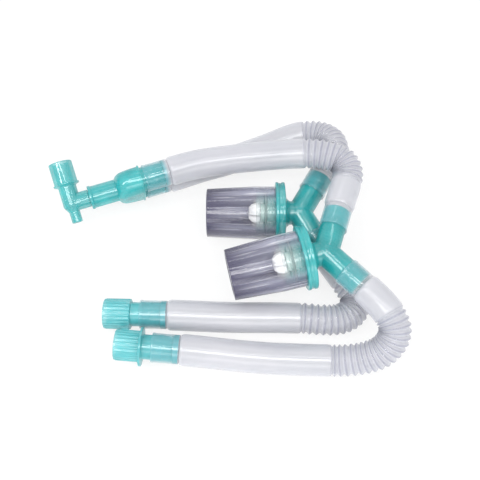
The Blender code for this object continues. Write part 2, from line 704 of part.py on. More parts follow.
def route(start, start_way, stops, end, end_way):
    """Points along the hose: straight through both cuffs, and a smooth curve through the stops between."""
    straight = CUFF_LENGTH + CUFF_STEP
    knots = [start + straight * start_way] + [Vector(stop) for stop in stops] + [end + straight * end_way]
    ways = [start_way]
    ways += [(after - before).normalized() for before, after in zip(knots, knots[2:])]
    ways.append(-end_way)
    points = [start]
    for (a, b), (way_a, way_b) in zip(zip(knots, knots[1:]), zip(ways, ways[1:])):
        span = (b - a).length
        steps = 24
        for i in range(steps):
            t = i / steps
            points.append((2 * t**3 - 3 * t**2 + 1) * a + (t**3 - 2 * t**2 + t) * span * way_a
                          + (3 * t**2 - 2 * t**3) * b + (t**3 - t**2) * span * way_b)
    return points + [knots[-1], end]


def lengths_along(points):
    """The length of the route up to each point, down its middle and round the outside of its bends."""
    middle, outside = [0.0], [0.0]
    for i in range(1, len(points)):
        step = points[i] - points[i - 1]
        bend = step.angle(points[i - 1] - points[i - 2]) if i > 1 else 0.0
        middle.append(middle[-1] + step.length)
        outside.append(outside[-1] + step.length + RIDGE_OUTER_R * bend)
    return middle, outside


def between(value, values, results):
    """The result that belongs to a value, read off between two rising lists."""
    for i in range(1, len(values)):
        if values[i] >= value or i == len(values) - 1:
            share = (value - values[i - 1]) / (values[i] - values[i - 1])
            return results[i - 1] + (results[i] - results[i - 1]) * share


def hose_stations(middle, outside, start_smooth, end_smooth):
    """Pairs of distance and outer radius along a hose: cuff, smooth, corrugated, smooth, cuff.

    The ridges are evenly spaced round the outside of a bend and crowd together on its inside.
    """
    length = middle[-1]
    cuffs = [(0.0, CUFF_OUTER_R), (CUFF_LENGTH, CUFF_OUTER_R), (CUFF_LENGTH + CUFF_STEP, HOSE_OUTER_R)]
    straight = CUFF_LENGTH + CUFF_STEP

    def plain(low, high):
        count = max(1, round((high - low) / BEND_SPACING))
        return [(low + (high - low) * i / count, HOSE_OUTER_R) for i in range(1, count + 1)]

    first = between(start_smooth, middle, outside)
    last = between(length - end_smooth, middle, outside)
    ridges = max(1, round((last - first) / RIDGE_PITCH))
    pitch = (last - first) / ridges
    wavy = []
    for i in range(ridges):
        wavy.append((between(first + (i + 0.25) * pitch, outside, middle), ROOT_OUTER_R))
        wavy.append((between(first + (i + 0.75) * pitch, outside, middle), RIDGE_OUTER_R))
    wavy.append((between(last + 0.25 * pitch, outside, middle), ROOT_OUTER_R))
    far_cuff = [(length - d, radius) for d, radius in reversed(cuffs)]
    resume = between(last + 0.6 * pitch, outside, middle)
    plain_end = [(resume, HOSE_OUTER_R)] + plain(resume, length - straight)[:-1]
    return cuffs + plain(straight, start_smooth) + wavy + plain_end + far_cuff


def hose(shop, name, start, stops, end, start_smooth, end_smooth):
    """A thin hollow hose: a bevelled curve with the radii of cuffs and ridges, and a Solidify wall."""
    points = route(*start, stops, *end)
    middle, outside = lengths_along(points)
    stations = hose_stations(middle, outside, start_smooth, end_smooth)
    curve = bpy.data.curves.new(name, "CURVE")
    curve.dimensions = "3D"
    curve.twist_mode = "MINIMUM"
    curve.bevel_depth = HOSE_OUTER_R
    curve.bevel_resolution = HOSE_RESOLUTION
    spline = curve.splines.new("POLY")
    spline.points.add(len(stations) - 1)
    for point, (distance, radius) in zip(spline.points, stations):
        point.co = (*between(distance, middle, points), 1.0)
        point.radius = radius / HOSE_OUTER_R
    made = shop.piece(bpy.data.objects.new(name, curve), None, "hose")
    wall = made.modifiers.new("wall", "SOLIDIFY")
    wall.thickness = HOSE_WALL
    wall.offset = -1.0
    return made


def stand_on_origin(shop):
    """Moves the whole circuit so that the middle of its footprint is the origin."""
    bpy.context.view_layer.update()
    graph = bpy.context.evaluated_depsgraph_get()
    corners = []
    for obj in shop.parts.objects:
        if obj.type != "EMPTY":
            seen = obj.evaluated_get(graph)
            mesh = seen.to_mesh()
            corners += [seen.matrix_world @ vert.co for vert in mesh.vertices]
            seen.to_mesh_clear()
    low = [min(corner[axis] for corner in corners) for axis in range(3)]
    high = [max(corner[axis] for corner in corners) for axis in range(3)]
    shift = Vector((-(low[0] + high[0]) / 2, -(low[1] + high[1]) / 2, -low[2]))
    for obj in shop.parts.objects:
        if obj.parent is None:
            obj.location += shift


def main():
    clear_scene()
    shop = Workshop("anesthesia_breathing_circuit")
    shop.skins = {
        "teal": material("teal_plastic", TEAL, 0.18, transmission=0.5),
        "pale teal": material("pale_teal_plastic", PALE_TEAL, 0.25, transmission=0.4),
        "hose": material("hose_plastic", HOSE_GREY, 0.35, transmission=0.3),
        "smoke": material("smoky_plastic", SMOKE, 0.08, transmission=0.7),
        "white": material("white_plastic", WHITE, 0.35),
        "steel": material("spring_steel", STEEL, 0.3, metallic=1.0),
        "silicone": material("silicone", SILICONE, 0.5),
        "rubber": material("black_rubber", RUBBER, 0.7),
    }
    y_place = shop.frame("y_place", y_frame())
    y_piece(shop, y_place)
    elbow(shop, shop.frame("elbow_swivel", elbow_frame()))
    back = water_trap(shop, "back", lying_frame(BACK_TRAP_PLACE, *BACK_TRAP_TURN))
    front = water_trap(shop, "front", lying_frame(FRONT_TRAP_PLACE, *FRONT_TRAP_TURN))
    back_end = back_connector(shop)
    front_end = front_connector(shop)
    bpy.context.view_layer.update()
    hose(shop, "front_patient_hose", y_port_frame(y_place, 1), FRONT_PATIENT_STOPS, trap_port(front, 1),
         FRONT_PATIENT_SMOOTH, PATIENT_TRAP_SMOOTH)
    hose(shop, "back_patient_hose", y_port_frame(y_place, -1), BACK_PATIENT_STOPS, trap_port(back, 1),
         BACK_PATIENT_SMOOTH, PATIENT_TRAP_SMOOTH)
    hose(shop, "front_machine_hose", trap_port(front, -1), FRONT_MACHINE_STOPS, connector_port(front_end),
         MACHINE_TRAP_SMOOTH, FRONT_MACHINE_SMOOTH)
    hose(shop, "back_machine_hose", trap_port(back, -1), BACK_MACHINE_STOPS, connector_port(back_end),
         MACHINE_TRAP_SMOOTH, BACK_MACHINE_SMOOTH)
    for obj in shop.parts.objects:
        if obj.type == "MESH":
            finish(obj)
    stand_on_origin(shop)


main()
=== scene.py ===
"""The look of an anesthesia breathing circuit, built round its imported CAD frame.

Metres, +Z up, in the frame's own axes. Every CAD node is replaced by a finer piece of the same size.
Only the clear cuffs at the Y-piece and at the machine connectors are longer than the CAD's.
"""

import bisect
import math

import bmesh
import bpy
from mathutils import Matrix, Vector, noise


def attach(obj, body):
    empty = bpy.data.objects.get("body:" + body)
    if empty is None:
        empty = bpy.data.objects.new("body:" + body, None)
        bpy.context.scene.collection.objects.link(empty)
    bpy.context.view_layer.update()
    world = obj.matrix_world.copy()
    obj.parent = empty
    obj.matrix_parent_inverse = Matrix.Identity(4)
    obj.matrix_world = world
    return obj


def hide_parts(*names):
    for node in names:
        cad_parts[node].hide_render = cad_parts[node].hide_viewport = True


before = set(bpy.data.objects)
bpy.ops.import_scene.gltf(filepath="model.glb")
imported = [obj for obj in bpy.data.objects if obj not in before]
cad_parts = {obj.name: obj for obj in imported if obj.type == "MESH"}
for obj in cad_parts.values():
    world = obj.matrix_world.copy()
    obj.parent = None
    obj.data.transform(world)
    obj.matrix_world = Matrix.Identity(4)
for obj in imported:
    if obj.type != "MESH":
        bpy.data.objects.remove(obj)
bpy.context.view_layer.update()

# Clearances, and how finely forms are divided
SHIFT = Vector((0.01854, 0.01321, -0.00011))  # from the source's own layout to the frame
FIT = 0.0003
OVERLAP = 0.001
ROUND = 96
SLIM = 64
HOSE_SIDES = 48
WIRE_SIDES = 12
PROFILE_STEPS = 4
WAVE_STEPS = 12
BODY_STEPS = 18
ROUTE_STEPS = 24
SPRING_STEPS = 32
AXIS_R = 1e-7  # a smaller radius is a point on the axis
CORNER_SHARE = 0.45  # of a side, the most that a rounded corner takes
FLAT_TURN = math.radians(12.0)
SHARP_TURN = math.radians(38.0)

# Hose ports and the side taper
PORT_OUTER_R = 0.0107
PORT_BORE_R = 0.0092
PORT_LENGTH = 0.0185
PORT_LIP = 0.0004
PORT_LIP_LENGTH = 0.0012
PORT_RINGS = (0.62, 0.30)  # shares of its length
PORT_RING = (0.00012, 0.0002, 0.0006)  # height, and half its width at the top and at the foot
SHOULDER_R = 0.0114
SHOULDER_EDGE = 0.0005
TAPER_OUTER_R = 0.0073
TAPER_BORE_R = 0.0057
TAPER_LENGTH = 0.014

# Hoses
HOSE_WALL = 0.0012
HOSE_OUTER_R = 0.01365
RIDGE_OUTER_R = 0.0142
RIDGE_VISUAL_R = 0.01378  # a little inside the CAD's ridges
ROOT_OUTER_R = 0.0118
RIDGE_PITCH = 0.0064
CUFF_LENGTH = 0.021
CUFF_STEP = 0.003
CUFF_OUTER_R = 0.01256
CUFF_RIM = 0.0022
CUFF_RIM_EDGE = 0.0003
CUFF_RIM_ROUND = 0.0002
CUFF_RIM_SLOPE = 0.0005
CUFF_LIP = 0.00025
CUFF_GROOVE = 0.0007
CUFF_GROOVE_LENGTH = 0.0008
CUFF_GROOVE_EDGE = 0.0001
TINT_SETBACK = 0.0002
SHOULDER_LENGTH = 0.0042
CUFF_EXTRA = 0.0034  # added to the clear cuffs at the Y-piece and at the machine connectors
CUFF_EXTRA_CLEAR = 0.28
CUFF_EXTRA_FADE = 0.0012
PLAIN_SHARE = 0.8  # where the corrugations start and end, between a root and a ridge
RIDGE_WAVE = 0.9  # of the half wave between a root and a ridge
MOULD_LINE = 0.00012
HOSE_SWAY = 0.00022
SWAY_SCALE = 55.0
SWAY_RADIUS = 0.012
SWAY_GROWTH = 0.012
PLAIN_SPACING = 0.0022
PATIENT_TRAP_SMOOTH = 0.051
MACHINE_TRAP_SMOOTH = 0.052
FRONT_PATIENT_SMOOTH = 0.154
BACK_PATIENT_SMOOTH = 0.166
BACK_MACHINE_SMOOTH = 0.144
FRONT_MACHINE_SMOOTH = 0.1565

# Y-piece
PORT_SPACING = 0.0285
Y_BODY_R = 0.0129
Y_BODY_START_R = 0.0087
Y_BODY_LENGTH = 0.025
Y_WALL = 0.0016
Y_END_WALL = 0.0026
Y_RING_LIP = 0.0010
Y_RING_THICK = 0.0016
Y_NECK = 0.0022
SOCKET_OUTER_R = 0.0105
SOCKET_LENGTH = 0.026
SOCKET_RIM_R = 0.0112
SOCKET_RIM_LENGTH = 0.0032
SOCKET_EDGE = 0.0006
Y_RING_EDGE = 0.0004
Y_SWELL = 3  # the body has its full thickness after a third of its length

# Elbow
PATIENT_PORT_R = 0.0110
PATIENT_PORT_BORE_R = 0.0078
PATIENT_PORT_LENGTH = 0.0218
PATIENT_RING_R = 0.0122
PATIENT_RING_THICK = 0.0012
ELBOW_NECK_R = 0.0085
ELBOW_BORE_R = 0.0066
ELBOW_NECK_LENGTH = 0.0176
ELBOW_ARM_R = 0.0083
ELBOW_ARM_LENGTH = 0.0168
SAMPLE_PORT_R = 0.0050
SAMPLE_BORE_R = 0.0034
SAMPLE_PORT_REACH = 0.0190
ELBOW_CHAMFER_TOP = 0.0030
ELBOW_CHAMFER_END = 0.0086
ELBOW_BORE_CHAMFER = 0.0035
PATIENT_RING_CONE = 0.0015
PATIENT_STEP_CONE = 0.0008
ELBOW_ARM_EDGE = 0.0006
TAPER_EDGE = 0.0005
FITTING_EDGE = 0.0008

# Trap lid
ARM_TILT = math.radians(59.5)
ARM_LENGTH = 0.024
KNUCKLE_R = 0.0119
KNUCKLE_BORE_R = 0.0097
LID_NECK_R = 0.0110
LID_CHAMBER_R = 0.0090
LID_FLARE = 0.0030
LID_CONE = 0.0018
FLANGE_DROP = 0.0137
FLANGE_THICK = 0.0084
FLANGE_R = 0.0287
FLANGE_BEAD = 0.0024
FLANGE_GROOVE = 0.0008
LID_ROOF = 0.0048
SKIRT_R = 0.0222
SKIRT_WALL = 0.0030
SKIRT_LENGTH = 0.018
SEAL_DROP = 0.0094
SEAL_WIRE_R = 0.0008
SEAL_SEAT_DEPTH = 0.0003
VALVE_TUBE_R = 0.0082
VALVE_TUBE_BORE_R = 0.0068
VALVE_TUBE_LENGTH = 0.0135
TUBE_RINGS = 4
TUBE_RING = (0.0004, 0.0003, 0.0007)
SEAT_THICK = 0.0016
SEAT_DROP = 0.0010
SEAT_HOLE_R = 0.0042
SKIRT_MARK_DROP = 0.0004
TUBE_MARK_REACH = 0.001

# Trap cup
CUP_WALL = 0.0018
CUP_FLOOR = 0.0020
CUP_BASE_R = 0.0224
CUP_BORE_R = 0.0230
CUP_LENGTH = 0.0635
CUP_COLLAR = 0.019
CUP_EDGE = 0.0010
CUP_FOOT_WIDTH = 0.0030
CUP_FOOT_INNER = 0.0036
CUP_FOOT_RISE = 0.0006
CUP_END_WIDTH = 0.004
CUP_END_HEIGHT = 0.0012
CUP_BELOW_RATE = 2.2
POST_R = 0.0030

# Trap valve
STEM_R = 0.0022
FOOT_LOBES = 6
FOOT_LOBE = 0.0022
FOOT_CORE_R = 0.0081
FOOT_NOSE = 0.68
FOOT_THICK = 0.0110
FOOT_TAPER = 0.82
FOOT_SCALLOP = 0.0034
FOOT_EDGE = 0.0018
FOOT_TOP_EDGE = 0.0005
VALVE_LIFT = 0.0043
VALVE_SEAL_R = 0.0070
VALVE_SEAL_THICK = 0.0014
VALVE_SEAL_BEVEL = 0.0005
VALVE_SEAL_EDGE = 0.0003
HEAD_R = 0.0036
HEAD_THICK = 0.0018
COLLAR_R = 0.0034
COLLAR_THICK = 0.0013
COLLAR_CONE = 0.0008
SPRING_R = 0.0045
SPRING_WIRE_R = 0.00045
SPRING_TURNS = 5

# Machine connectors
DRUM_R = 0.0135
DRUM_GROOVE = 0.0007
DRUM_RIBS = 24
DRUM_LENGTH = 0.0240
DRUM_RIM = 0.0014
DRUM_EDGE = 0.0004
DRUM_SHOULDER = 0.0012
DRUM_SHOULDER_DROP = 0.0008
SOCKET_22_R = 0.0112
SOCKET_22_END_R = 0.0110
SOCKET_22_DEPTH = 0.0190
SOCKET_22_STEP = 0.0015
CONNECTOR_NECK = 0.0075
CONNECTOR_PORT_ROOT = 0.004
CONNECTOR_RING_R = 0.0170
CONNECTOR_RING_THICK = 0.0022
CONNECTOR_RING_SETBACK = 0.0003
CONNECTOR_RING_EDGE = 0.0007
LUG_WIDTH = 0.0030
LUG_LENGTH = 0.0070
LUG_REACH = 0.0030
LUG_ROOT = 0.0015
LUG_SETBACK = 0.0007
LUG_EDGE = 0.0006

# Places and turns of the fittings
Y_PLACE = SHIFT + Vector((-0.0940, 0.0460, 0.0293))
Y_YAW = math.radians(19.5)
Y_ROLL = math.radians(68.0)
ELBOW_RISE = math.radians(28.0)
BACK_TRAP_PLACE = SHIFT + Vector((0.0550, 0.0125, FLANGE_R + FIT))
BACK_TRAP_TURN = (0.0, 0.0, math.radians(11.0))
FRONT_TRAP_PLACE = SHIFT + Vector((0.0744, -0.0434, 0.0530))
FRONT_TRAP_TURN = (math.radians(12.6), math.radians(4.0), math.radians(4.5))
BACK_CONNECTOR_PLACE = SHIFT + Vector((-0.1202, -0.0835, RIDGE_OUTER_R))
BACK_CONNECTOR_TURN = (math.radians(-1.5), 0.0)
FRONT_CONNECTOR_PLACE = SHIFT + Vector((-0.1077, -0.1144, CONNECTOR_RING_R + OVERLAP))
FRONT_CONNECTOR_TURN = (math.radians(-4.2), math.radians(-2.0))

# Places that each hose passes through, as in the source
FRONT_PATIENT_STOPS = [
    (-0.0400, 0.0560, 0.0460), (-0.0080, 0.0580, 0.0510), (0.0230, 0.0575, 0.0570), (0.0540, 0.0550, 0.0640),
    (0.0720, 0.0530, 0.0663), (0.0858, 0.0494, 0.0664), (0.0918, 0.0463, 0.0659), (0.0961, 0.0410, 0.0648),
    (0.0980, 0.0346, 0.0632), (0.0973, 0.0278, 0.0617),
]
BACK_PATIENT_STOPS = [
    (-0.0395, 0.0712, 0.0170), (-0.0129, 0.0796, 0.0180), (0.0298, 0.0934, 0.0240), (0.0496, 0.1000, 0.0285),
    (0.0620, 0.1018, 0.0313), (0.0731, 0.1007, 0.0335), (0.0810, 0.0976, 0.0352), (0.0872, 0.0918, 0.0370),
    (0.0907, 0.0841, 0.0384), (0.0910, 0.0756, 0.0389), (0.0884, 0.0684, 0.0388),
]
FRONT_MACHINE_STOPS = [
    (0.1195, -0.0926, 0.0510), (0.1254, -0.1015, 0.0496), (0.1289, -0.1090, 0.0462),
    (0.1291, -0.1149, 0.0415), (0.1258, -0.1207, 0.0350), (0.1186, -0.1255, 0.0280),
    (0.1065, -0.1278, 0.0212), (0.0920, -0.1283, 0.0165), (0.0790, -0.1277, RIDGE_OUTER_R),
    (0.0172, -0.1250, RIDGE_OUTER_R),
]
BACK_MACHINE_STOPS = [
    (0.1015, -0.0645, 0.0165), (0.1030, -0.0735, 0.0148), (0.0997, -0.0818, RIDGE_OUTER_R),
    (0.0921, -0.0876, RIDGE_OUTER_R), (0.0830, -0.0897, RIDGE_OUTER_R), (0.0700, -0.0895, RIDGE_OUTER_R),
    (0.0539, -0.0880, RIDGE_OUTER_R), (-0.0120, -0.0872, RIDGE_OUTER_R),
]

# Camera, light and floor
CAMERA_DISTANCE = 0.720
CAMERA_RISE = math.radians(60.0)
CAMERA_ANGLE = math.radians(35.49)
CAMERA_NEAR = 0.05
WORLD_LIGHT = 0.74  # of the white that the background shows
FLOOR_GLOW = 0.8
FLOOR_HALF = 3.0
FLOOR_DROP = 0.0002
CLEAR_LAYERS = 32  # clear walls that a ray may pass
AREA_LIGHTS = (
    ("strip_low", (0.0, -0.50, 1.00), (1.3, 0.27), 7.2),
    ("strip_high", (0.0, -0.15, 1.15), (1.3, 0.06), 2.2),
    ("strip_back", (0.0, 0.50, 1.00), (1.3, 0.06), 0.9),
    ("fill_front", (0.0, -1.10, 0.45), (1.4, 0.4), 3.4),
    ("strip_left", (-0.8, -0.3, 0.80), (0.06, 1.0), 3.0),
)


# Materials


def add(tree, kind, links=None, **settings):
    """A shader node, with its inputs set to values or linked to other nodes' outputs."""
    made = tree.nodes.new("ShaderNode" + kind)
    for key, value in settings.items():
        setattr(made, key, value)
    for key, value in (links or {}).items():
        if isinstance(value, bpy.types.NodeSocket):
            tree.links.new(value, made.inputs[key])
        else:
            made.inputs[key].default_value = value
    return made


def scaled_noise(tree, coordinates, scale, detail=3.0, stretch=(1.0, 1.0, 1.0)):
    placed = add(tree, "Mapping", {"Vector": coordinates, "Scale": stretch})
    made = add(tree, "TexNoise", {"Vector": placed.outputs[0], "Scale": scale, "Detail": detail})
    return made.outputs["Fac"]


def ranged(tree, value, low, high, from_low=0.3, from_high=0.7):
    links = {"Value": value, "From Min": from_low, "From Max": from_high, "To Min": low, "To Max": high}
    return add(tree, "MapRange", links).outputs["Result"]


def mixed(tree, factor, a, b):
    made = add(tree, "Mix", data_type="RGBA")
    for key, value in (("Factor_Float", factor), ("A_Color", a), ("B_Color", b)):
        socket = next(s for s in made.inputs if s.identifier == key)
        if isinstance(value, bpy.types.NodeSocket):
            tree.links.new(value, socket)
        else:
            socket.default_value = value
    return next(s for s in made.outputs if s.identifier == "Result_Color")


def varied(tree, value, a, b):
    """A colour between two that follows a noise."""
    return mixed(tree, ranged(tree, value, 0.0, 1.0), a, b)


def combined(tree, operation, a, b):
    return add(tree, "Math", {0: a, 1: b}, operation=operation).outputs[0]


def blended(tree, factor, a, b):
    return add(tree, "Mix", {"Factor": factor, "A": a, "B": b}, data_type="FLOAT").outputs["Result"]


def product(tree, a, b):
    return combined(tree, "MULTIPLY", a, b)


class Skin:
    """A new material whose tree starts with a Principled shader."""

    def __init__(self, name):
        self.material = bpy.data.materials.new(name)
        self.material.use_nodes = True
        self.tree = self.material.node_tree
        self.shader = self.tree.nodes["Principled BSDF"]
        coordinates = add(self.tree, "TexCoord")
        self.place = coordinates.outputs["Object"]
        self.uv = coordinates.outputs["UV"]

    def set(self, **values):
        for key, value in values.items():
            socket = self.shader.inputs[key.replace("_", " ")]
            if isinstance(value, bpy.types.NodeSocket):
                self.tree.links.new(value, socket)
            else:
                socket.default_value = value

    def mark(self, name):
        """A value that the mesh carries at its vertices."""
        return add(self.tree, "Attribute", attribute_name=name).outputs["Fac"]

    def facing(self, middle, edge, blend=0.4):
        """A value that changes from the middle of a round wall to its edges, seen through more plastic."""
        weight = add(self.tree, "LayerWeight", {"Blend": blend}).outputs["Facing"]
        return ranged(self.tree, weight, middle, edge, 0.0, 1.0)

    def bump(self, height, strength, distance):
        made = add(self.tree, "Bump", {"Height": height, "Strength": strength, "Distance": distance})
        self.set(Normal=made.outputs["Normal"])


def fitting_plastic(name, deep, light, middle, edge, gloss, thin_walls=False):
    """Clear tinted plastic of the moulded fittings: denser in places, faintly rippled and scuffed. With thin
    walls, the valve tube inside the lid gets a near-white mint painted highlight.
    """
    skin = Skin(name)
    tree = skin.tree
    cloud = scaled_noise(tree, skin.place, 45.0, 2.0)
    tint = varied(tree, cloud, deep, light)
    grain = scaled_noise(tree, skin.place, 900.0, 2.0)
    ripple = scaled_noise(tree, skin.place, 160.0, 1.0)
    height = combined(tree, "ADD", grain, ripple)
    thin = skin.facing(middle, edge, 0.35)
    if thin_walls:
        skirt = skin.mark("skirt")
        valve_tube = skin.mark("valve_tube")
        thin_tint = mixed(tree, cloud, (0.30, 0.52, 0.53, 1.0), (0.44, 0.66, 0.66, 1.0))
        # The valve tube's near-white mint is a painted highlight, not the plastic's own colour.
        painted_highlight_mint = mixed(tree, cloud, (0.76, 0.93, 0.86, 1.0), (0.90, 0.99, 0.95, 1.0))
        tint = mixed(tree, valve_tube, mixed(tree, skirt, tint, thin_tint), painted_highlight_mint)
        thin = blended(tree, valve_tube, blended(tree, skirt, thin, skin.facing(0.07, 0.60, 0.35)),
                       skin.facing(0.86, 0.98, 0.35))
    skin.set(Base_Color=tint, Roughness=ranged(tree, grain, gloss, gloss + 0.14),
             Alpha=product(tree, thin, ranged(tree, cloud, 0.92, 1.0)), IOR=1.36,
             Coat_Weight=skin.facing(1.0, 0.25, 0.5), Coat_IOR=1.8,
             Coat_Roughness=ranged(tree, ripple, 0.04, 0.09))
    skin.bump(height, 0.16, 0.00006)
    return skin.material


def hose_plastic():
    """Frosted flexible plastic: clear over the cuffs, milky along the hose, with painted shade on the ridges
    and painted shading from its middle to its edges.
    """
    skin = Skin("hose_frosted")
    tree = skin.tree
    cloud = scaled_noise(tree, skin.place, 30.0, 3.0)
    face = skin.facing(0.0, 1.0, 0.45)
    # The colour changes from the middle of the hose to its edges: painted shading across the round hose.
    pale = varied(tree, cloud, (0.55, 0.56, 0.60, 1.0), (0.61, 0.61, 0.65, 1.0))
    edge = varied(tree, cloud, (0.64, 0.65, 0.72, 1.0), (0.70, 0.71, 0.77, 1.0))
    body = mixed(tree, face, pale, edge)
    crest = skin.mark("crest")
    # The ridges are tinted darker grey-violet: painted shade in the corrugations.
    ridges_painted_shade = mixed(tree, ranged(tree, crest, 0.0, 0.85, 0.55, 1.0), body, (0.36, 0.37, 0.46, 1.0))
    clear = skin.mark("clear")
    lit = skin.mark("tinted")
    dense = product(tree, lit, ranged(tree, clear, 1.0, 0.0, 0.0, 1.0))
    tint = mixed(tree, dense, mixed(tree, lit, ridges_painted_shade, (0.16, 0.50, 0.56, 1.0)), (0.05, 0.27, 0.31, 1.0))
    milky = skin.facing(0.42, 0.93, 0.4)
    glassy = skin.facing(0.14, 0.85, 0.3)
    alpha = blended(tree, dense, blended(tree, clear, milky, glassy), 1.0)
    grain = scaled_noise(tree, skin.place, 700.0, 3.0)
    lines = scaled_noise(tree, skin.uv, 1.0, 2.0, (3.0, 900.0, 1.0))
    height = combined(tree, "ADD", grain, lines)
    rough = blended(tree, clear, ranged(tree, grain, 0.30, 0.46), ranged(tree, grain, 0.10, 0.22))
    gloss = blended(tree, clear, ranged(tree, cloud, 0.08, 0.15), ranged(tree, cloud, 0.05, 0.10))
    skin.set(Base_Color=tint, Roughness=rough, Alpha=alpha, IOR=1.45,
             Coat_Weight=ranged(tree, clear, 0.55, 1.0, 0.0, 1.0), Coat_IOR=2.1, Coat_Roughness=gloss)
    skin.bump(height, 0.35, 0.00008)
    return skin.material


def smoky_plastic():
    """Clear smoky plastic of the cups, with draw marks down its length that break up the highlights. Light
    and dark bands and thin near-white lines down its length are painted reflections and highlights, and its
    lower half is denser as painted shade.
    """
    skin = Skin("cup_smoky")
    tree = skin.tree
    collar = -FLANGE_DROP - FLANGE_THICK - FIT - CUP_COLLAR
    around = add(tree, "Attribute", attribute_name="around").outputs["Vector"]
    below = skin.mark("below")
    streak = scaled_noise(tree, around, 1.0, 1.5, (2.8, 2.8, 5.0))
    fine = scaled_noise(tree, around, 1.0, 2.0, (16.0, 16.0, 14.0))
    # Light and dark bands down the cup are painted reflections.
    painted_sheen_bands = mixed(tree, ranged(tree, streak, 0.0, 1.0, 0.38, 0.64), (0.095, 0.092, 0.165, 1.0),
                 (0.57, 0.58, 0.71, 1.0))
    # Thin near-white lines down the cup are painted highlights.
    line = ranged(tree, scaled_noise(tree, around, 1.0, 1.0, (9.0, 9.0, 16.0)), 0.0, 1.0, 0.62, 0.70)
    tint = mixed(tree, line, painted_sheen_bands, (0.90, 0.90, 0.97, 1.0))
    rim = skin.mark("end")
    tint = mixed(tree, rim, tint, (0.055, 0.05, 0.10, 1.0))
    scuff = scaled_noise(tree, skin.place, 500.0, 4.0)
    height = add(tree, "SeparateXYZ", {"Vector": around}).outputs["Z"]
    turned_away = add(tree, "LayerWeight", {"Blend": 0.5}).outputs["Facing"]
    clear = ranged(tree, turned_away, 0.03, 0.50, 0.09, 0.30)
    # The lower half is made denser so its dark tint shows: painted shade under the cup.
    density = blended(tree, below, clear, 0.80)
    thick = blended(tree, ranged(tree, turned_away, 0.0, 1.0, 0.35, 0.95), density, 0.96)
    at_skirt = ranged(tree, height, 0.0, 0.75, collar - 0.003, collar + 0.003)
    lighter = product(tree, at_skirt, ranged(tree, turned_away, 1.0, 0.25, 0.08, 0.24))
    thick = product(tree, thick, combined(tree, "SUBTRACT", 1.0, lighter))
    thick = blended(tree, rim, thick, 0.95)
    skin.set(Base_Color=tint, Roughness=ranged(tree, scuff, 0.05, 0.14),
             Alpha=product(tree, thick, ranged(tree, fine, 0.82, 1.0)), IOR=1.45,
             Coat_Weight=0.8, Coat_IOR=1.5, Coat_Roughness=ranged(tree, fine, 0.03, 0.08))
    skin.bump(streak, 0.35, 0.0004)
    return skin.material


def white_plastic():
    skin = Skin("valve_white")
    tree = skin.tree
    cloud = scaled_noise(tree, skin.place, 120.0, 2.0)
    grain = scaled_noise(tree, skin.place, 1500.0, 2.0)
    tint = varied(tree, cloud, (0.94, 0.94, 0.95, 1.0), (0.98, 0.98, 0.98, 1.0))
    skin.set(Base_Color=tint, Roughness=ranged(tree, grain, 0.32, 0.5), IOR=1.48)
    skin.bump(grain, 0.2, 0.00004)
    return skin.material


def drawn_steel():
    skin = Skin("spring_drawn_steel")
    tree = skin.tree
    drawn = scaled_noise(tree, skin.place, 2400.0, 2.0)
    tint = varied(tree, drawn, (0.46, 0.46, 0.47, 1.0), (0.66, 0.66, 0.66, 1.0))
    skin.set(Base_Color=tint, Metallic=1.0, Roughness=ranged(tree, drawn, 0.2, 0.38))
    skin.bump(drawn, 0.15, 0.00002)
    return skin.material


def soft_seal(name, dark, light, alpha):
    """Moulded silicone: matt, slightly clear, with a powdery bloom."""
    skin = Skin(name)
    tree = skin.tree
    bloom = scaled_noise(tree, skin.place, 260.0, 4.0)
    tint = varied(tree, bloom, dark, light)
    skin.set(Base_Color=tint, Roughness=ranged(tree, bloom, 0.42, 0.62), IOR=1.43, Alpha=alpha)
    skin.bump(bloom, 0.2, 0.00005)
    return skin.material


# Mesh helpers


def rounded(profile, radius, closed=False):
    """The profile with each corner replaced by a short arc, where its sides leave room for one."""
    points = [Vector(p[:2]) for p in profile]
    extra = [p[2] if len(p) > 2 else 0.0 for p in profile]
    count = len(points)
    result = []
    for i, corner in enumerate(points):
        if not closed and i in (0, count - 1):
            result.append((*corner, extra[i]))
            continue
        before, after = points[i - 1] - corner, points[(i + 1) % count] - corner
        cut = min(radius, CORNER_SHARE * before.length, CORNER_SHARE * after.length)
        if before.angle(-after) < FLAT_TURN:
            result.append((*corner, extra[i]))
            continue
        start, end = corner + cut * before.normalized(), corner + cut * after.normalized()
        for step in range(PROFILE_STEPS + 1):
            t = step / PROFILE_STEPS
            point = (1 - t) ** 2 * start + 2 * t * (1 - t) * corner + t ** 2 * end
            result.append((*point, extra[i]))
    return result


def new_object(name, shape):
    mesh = bpy.data.meshes.new(name)
    bmesh.ops.recalc_face_normals(shape, faces=shape.faces)
    shape.to_mesh(mesh)
    shape.free()
    made = bpy.data.objects.new(name, mesh)
    bpy.context.scene.collection.objects.link(made)
    return made


def skinned(name, rings, closed=False):
    """A surface through rings of points, with UVs round and along it. A ring of one point is a pole."""
    shape = bmesh.new()
    layer = shape.loops.layers.uv.new("UVMap")
    verts = [[shape.verts.new(point) for point in ring] for ring in rings]
    count = max(len(ring) for ring in rings)
    pairs = list(zip(range(len(verts)), range(1, len(verts))))
    if closed:
        pairs.append((len(verts) - 1, 0))
    for a, b in pairs:
        for i in range(count):
            j = (i + 1) % count
            corners = []
            for row, column, u in ((a, i, i), (a, j, i + 1), (b, j, i + 1), (b, i, i)):
                vert = verts[row][column if len(verts[row]) > 1 else 0]
                if not any(vert is other for other, _ in corners):
                    corners.append((vert, (u / count, row / len(verts))))
            if len(corners) < 3:
                continue
            face = shape.faces.new([vert for vert, _ in corners])
            for loop, (_, uv) in zip(face.loops, corners):
                loop[layer].uv = uv
    return new_object(name, shape)


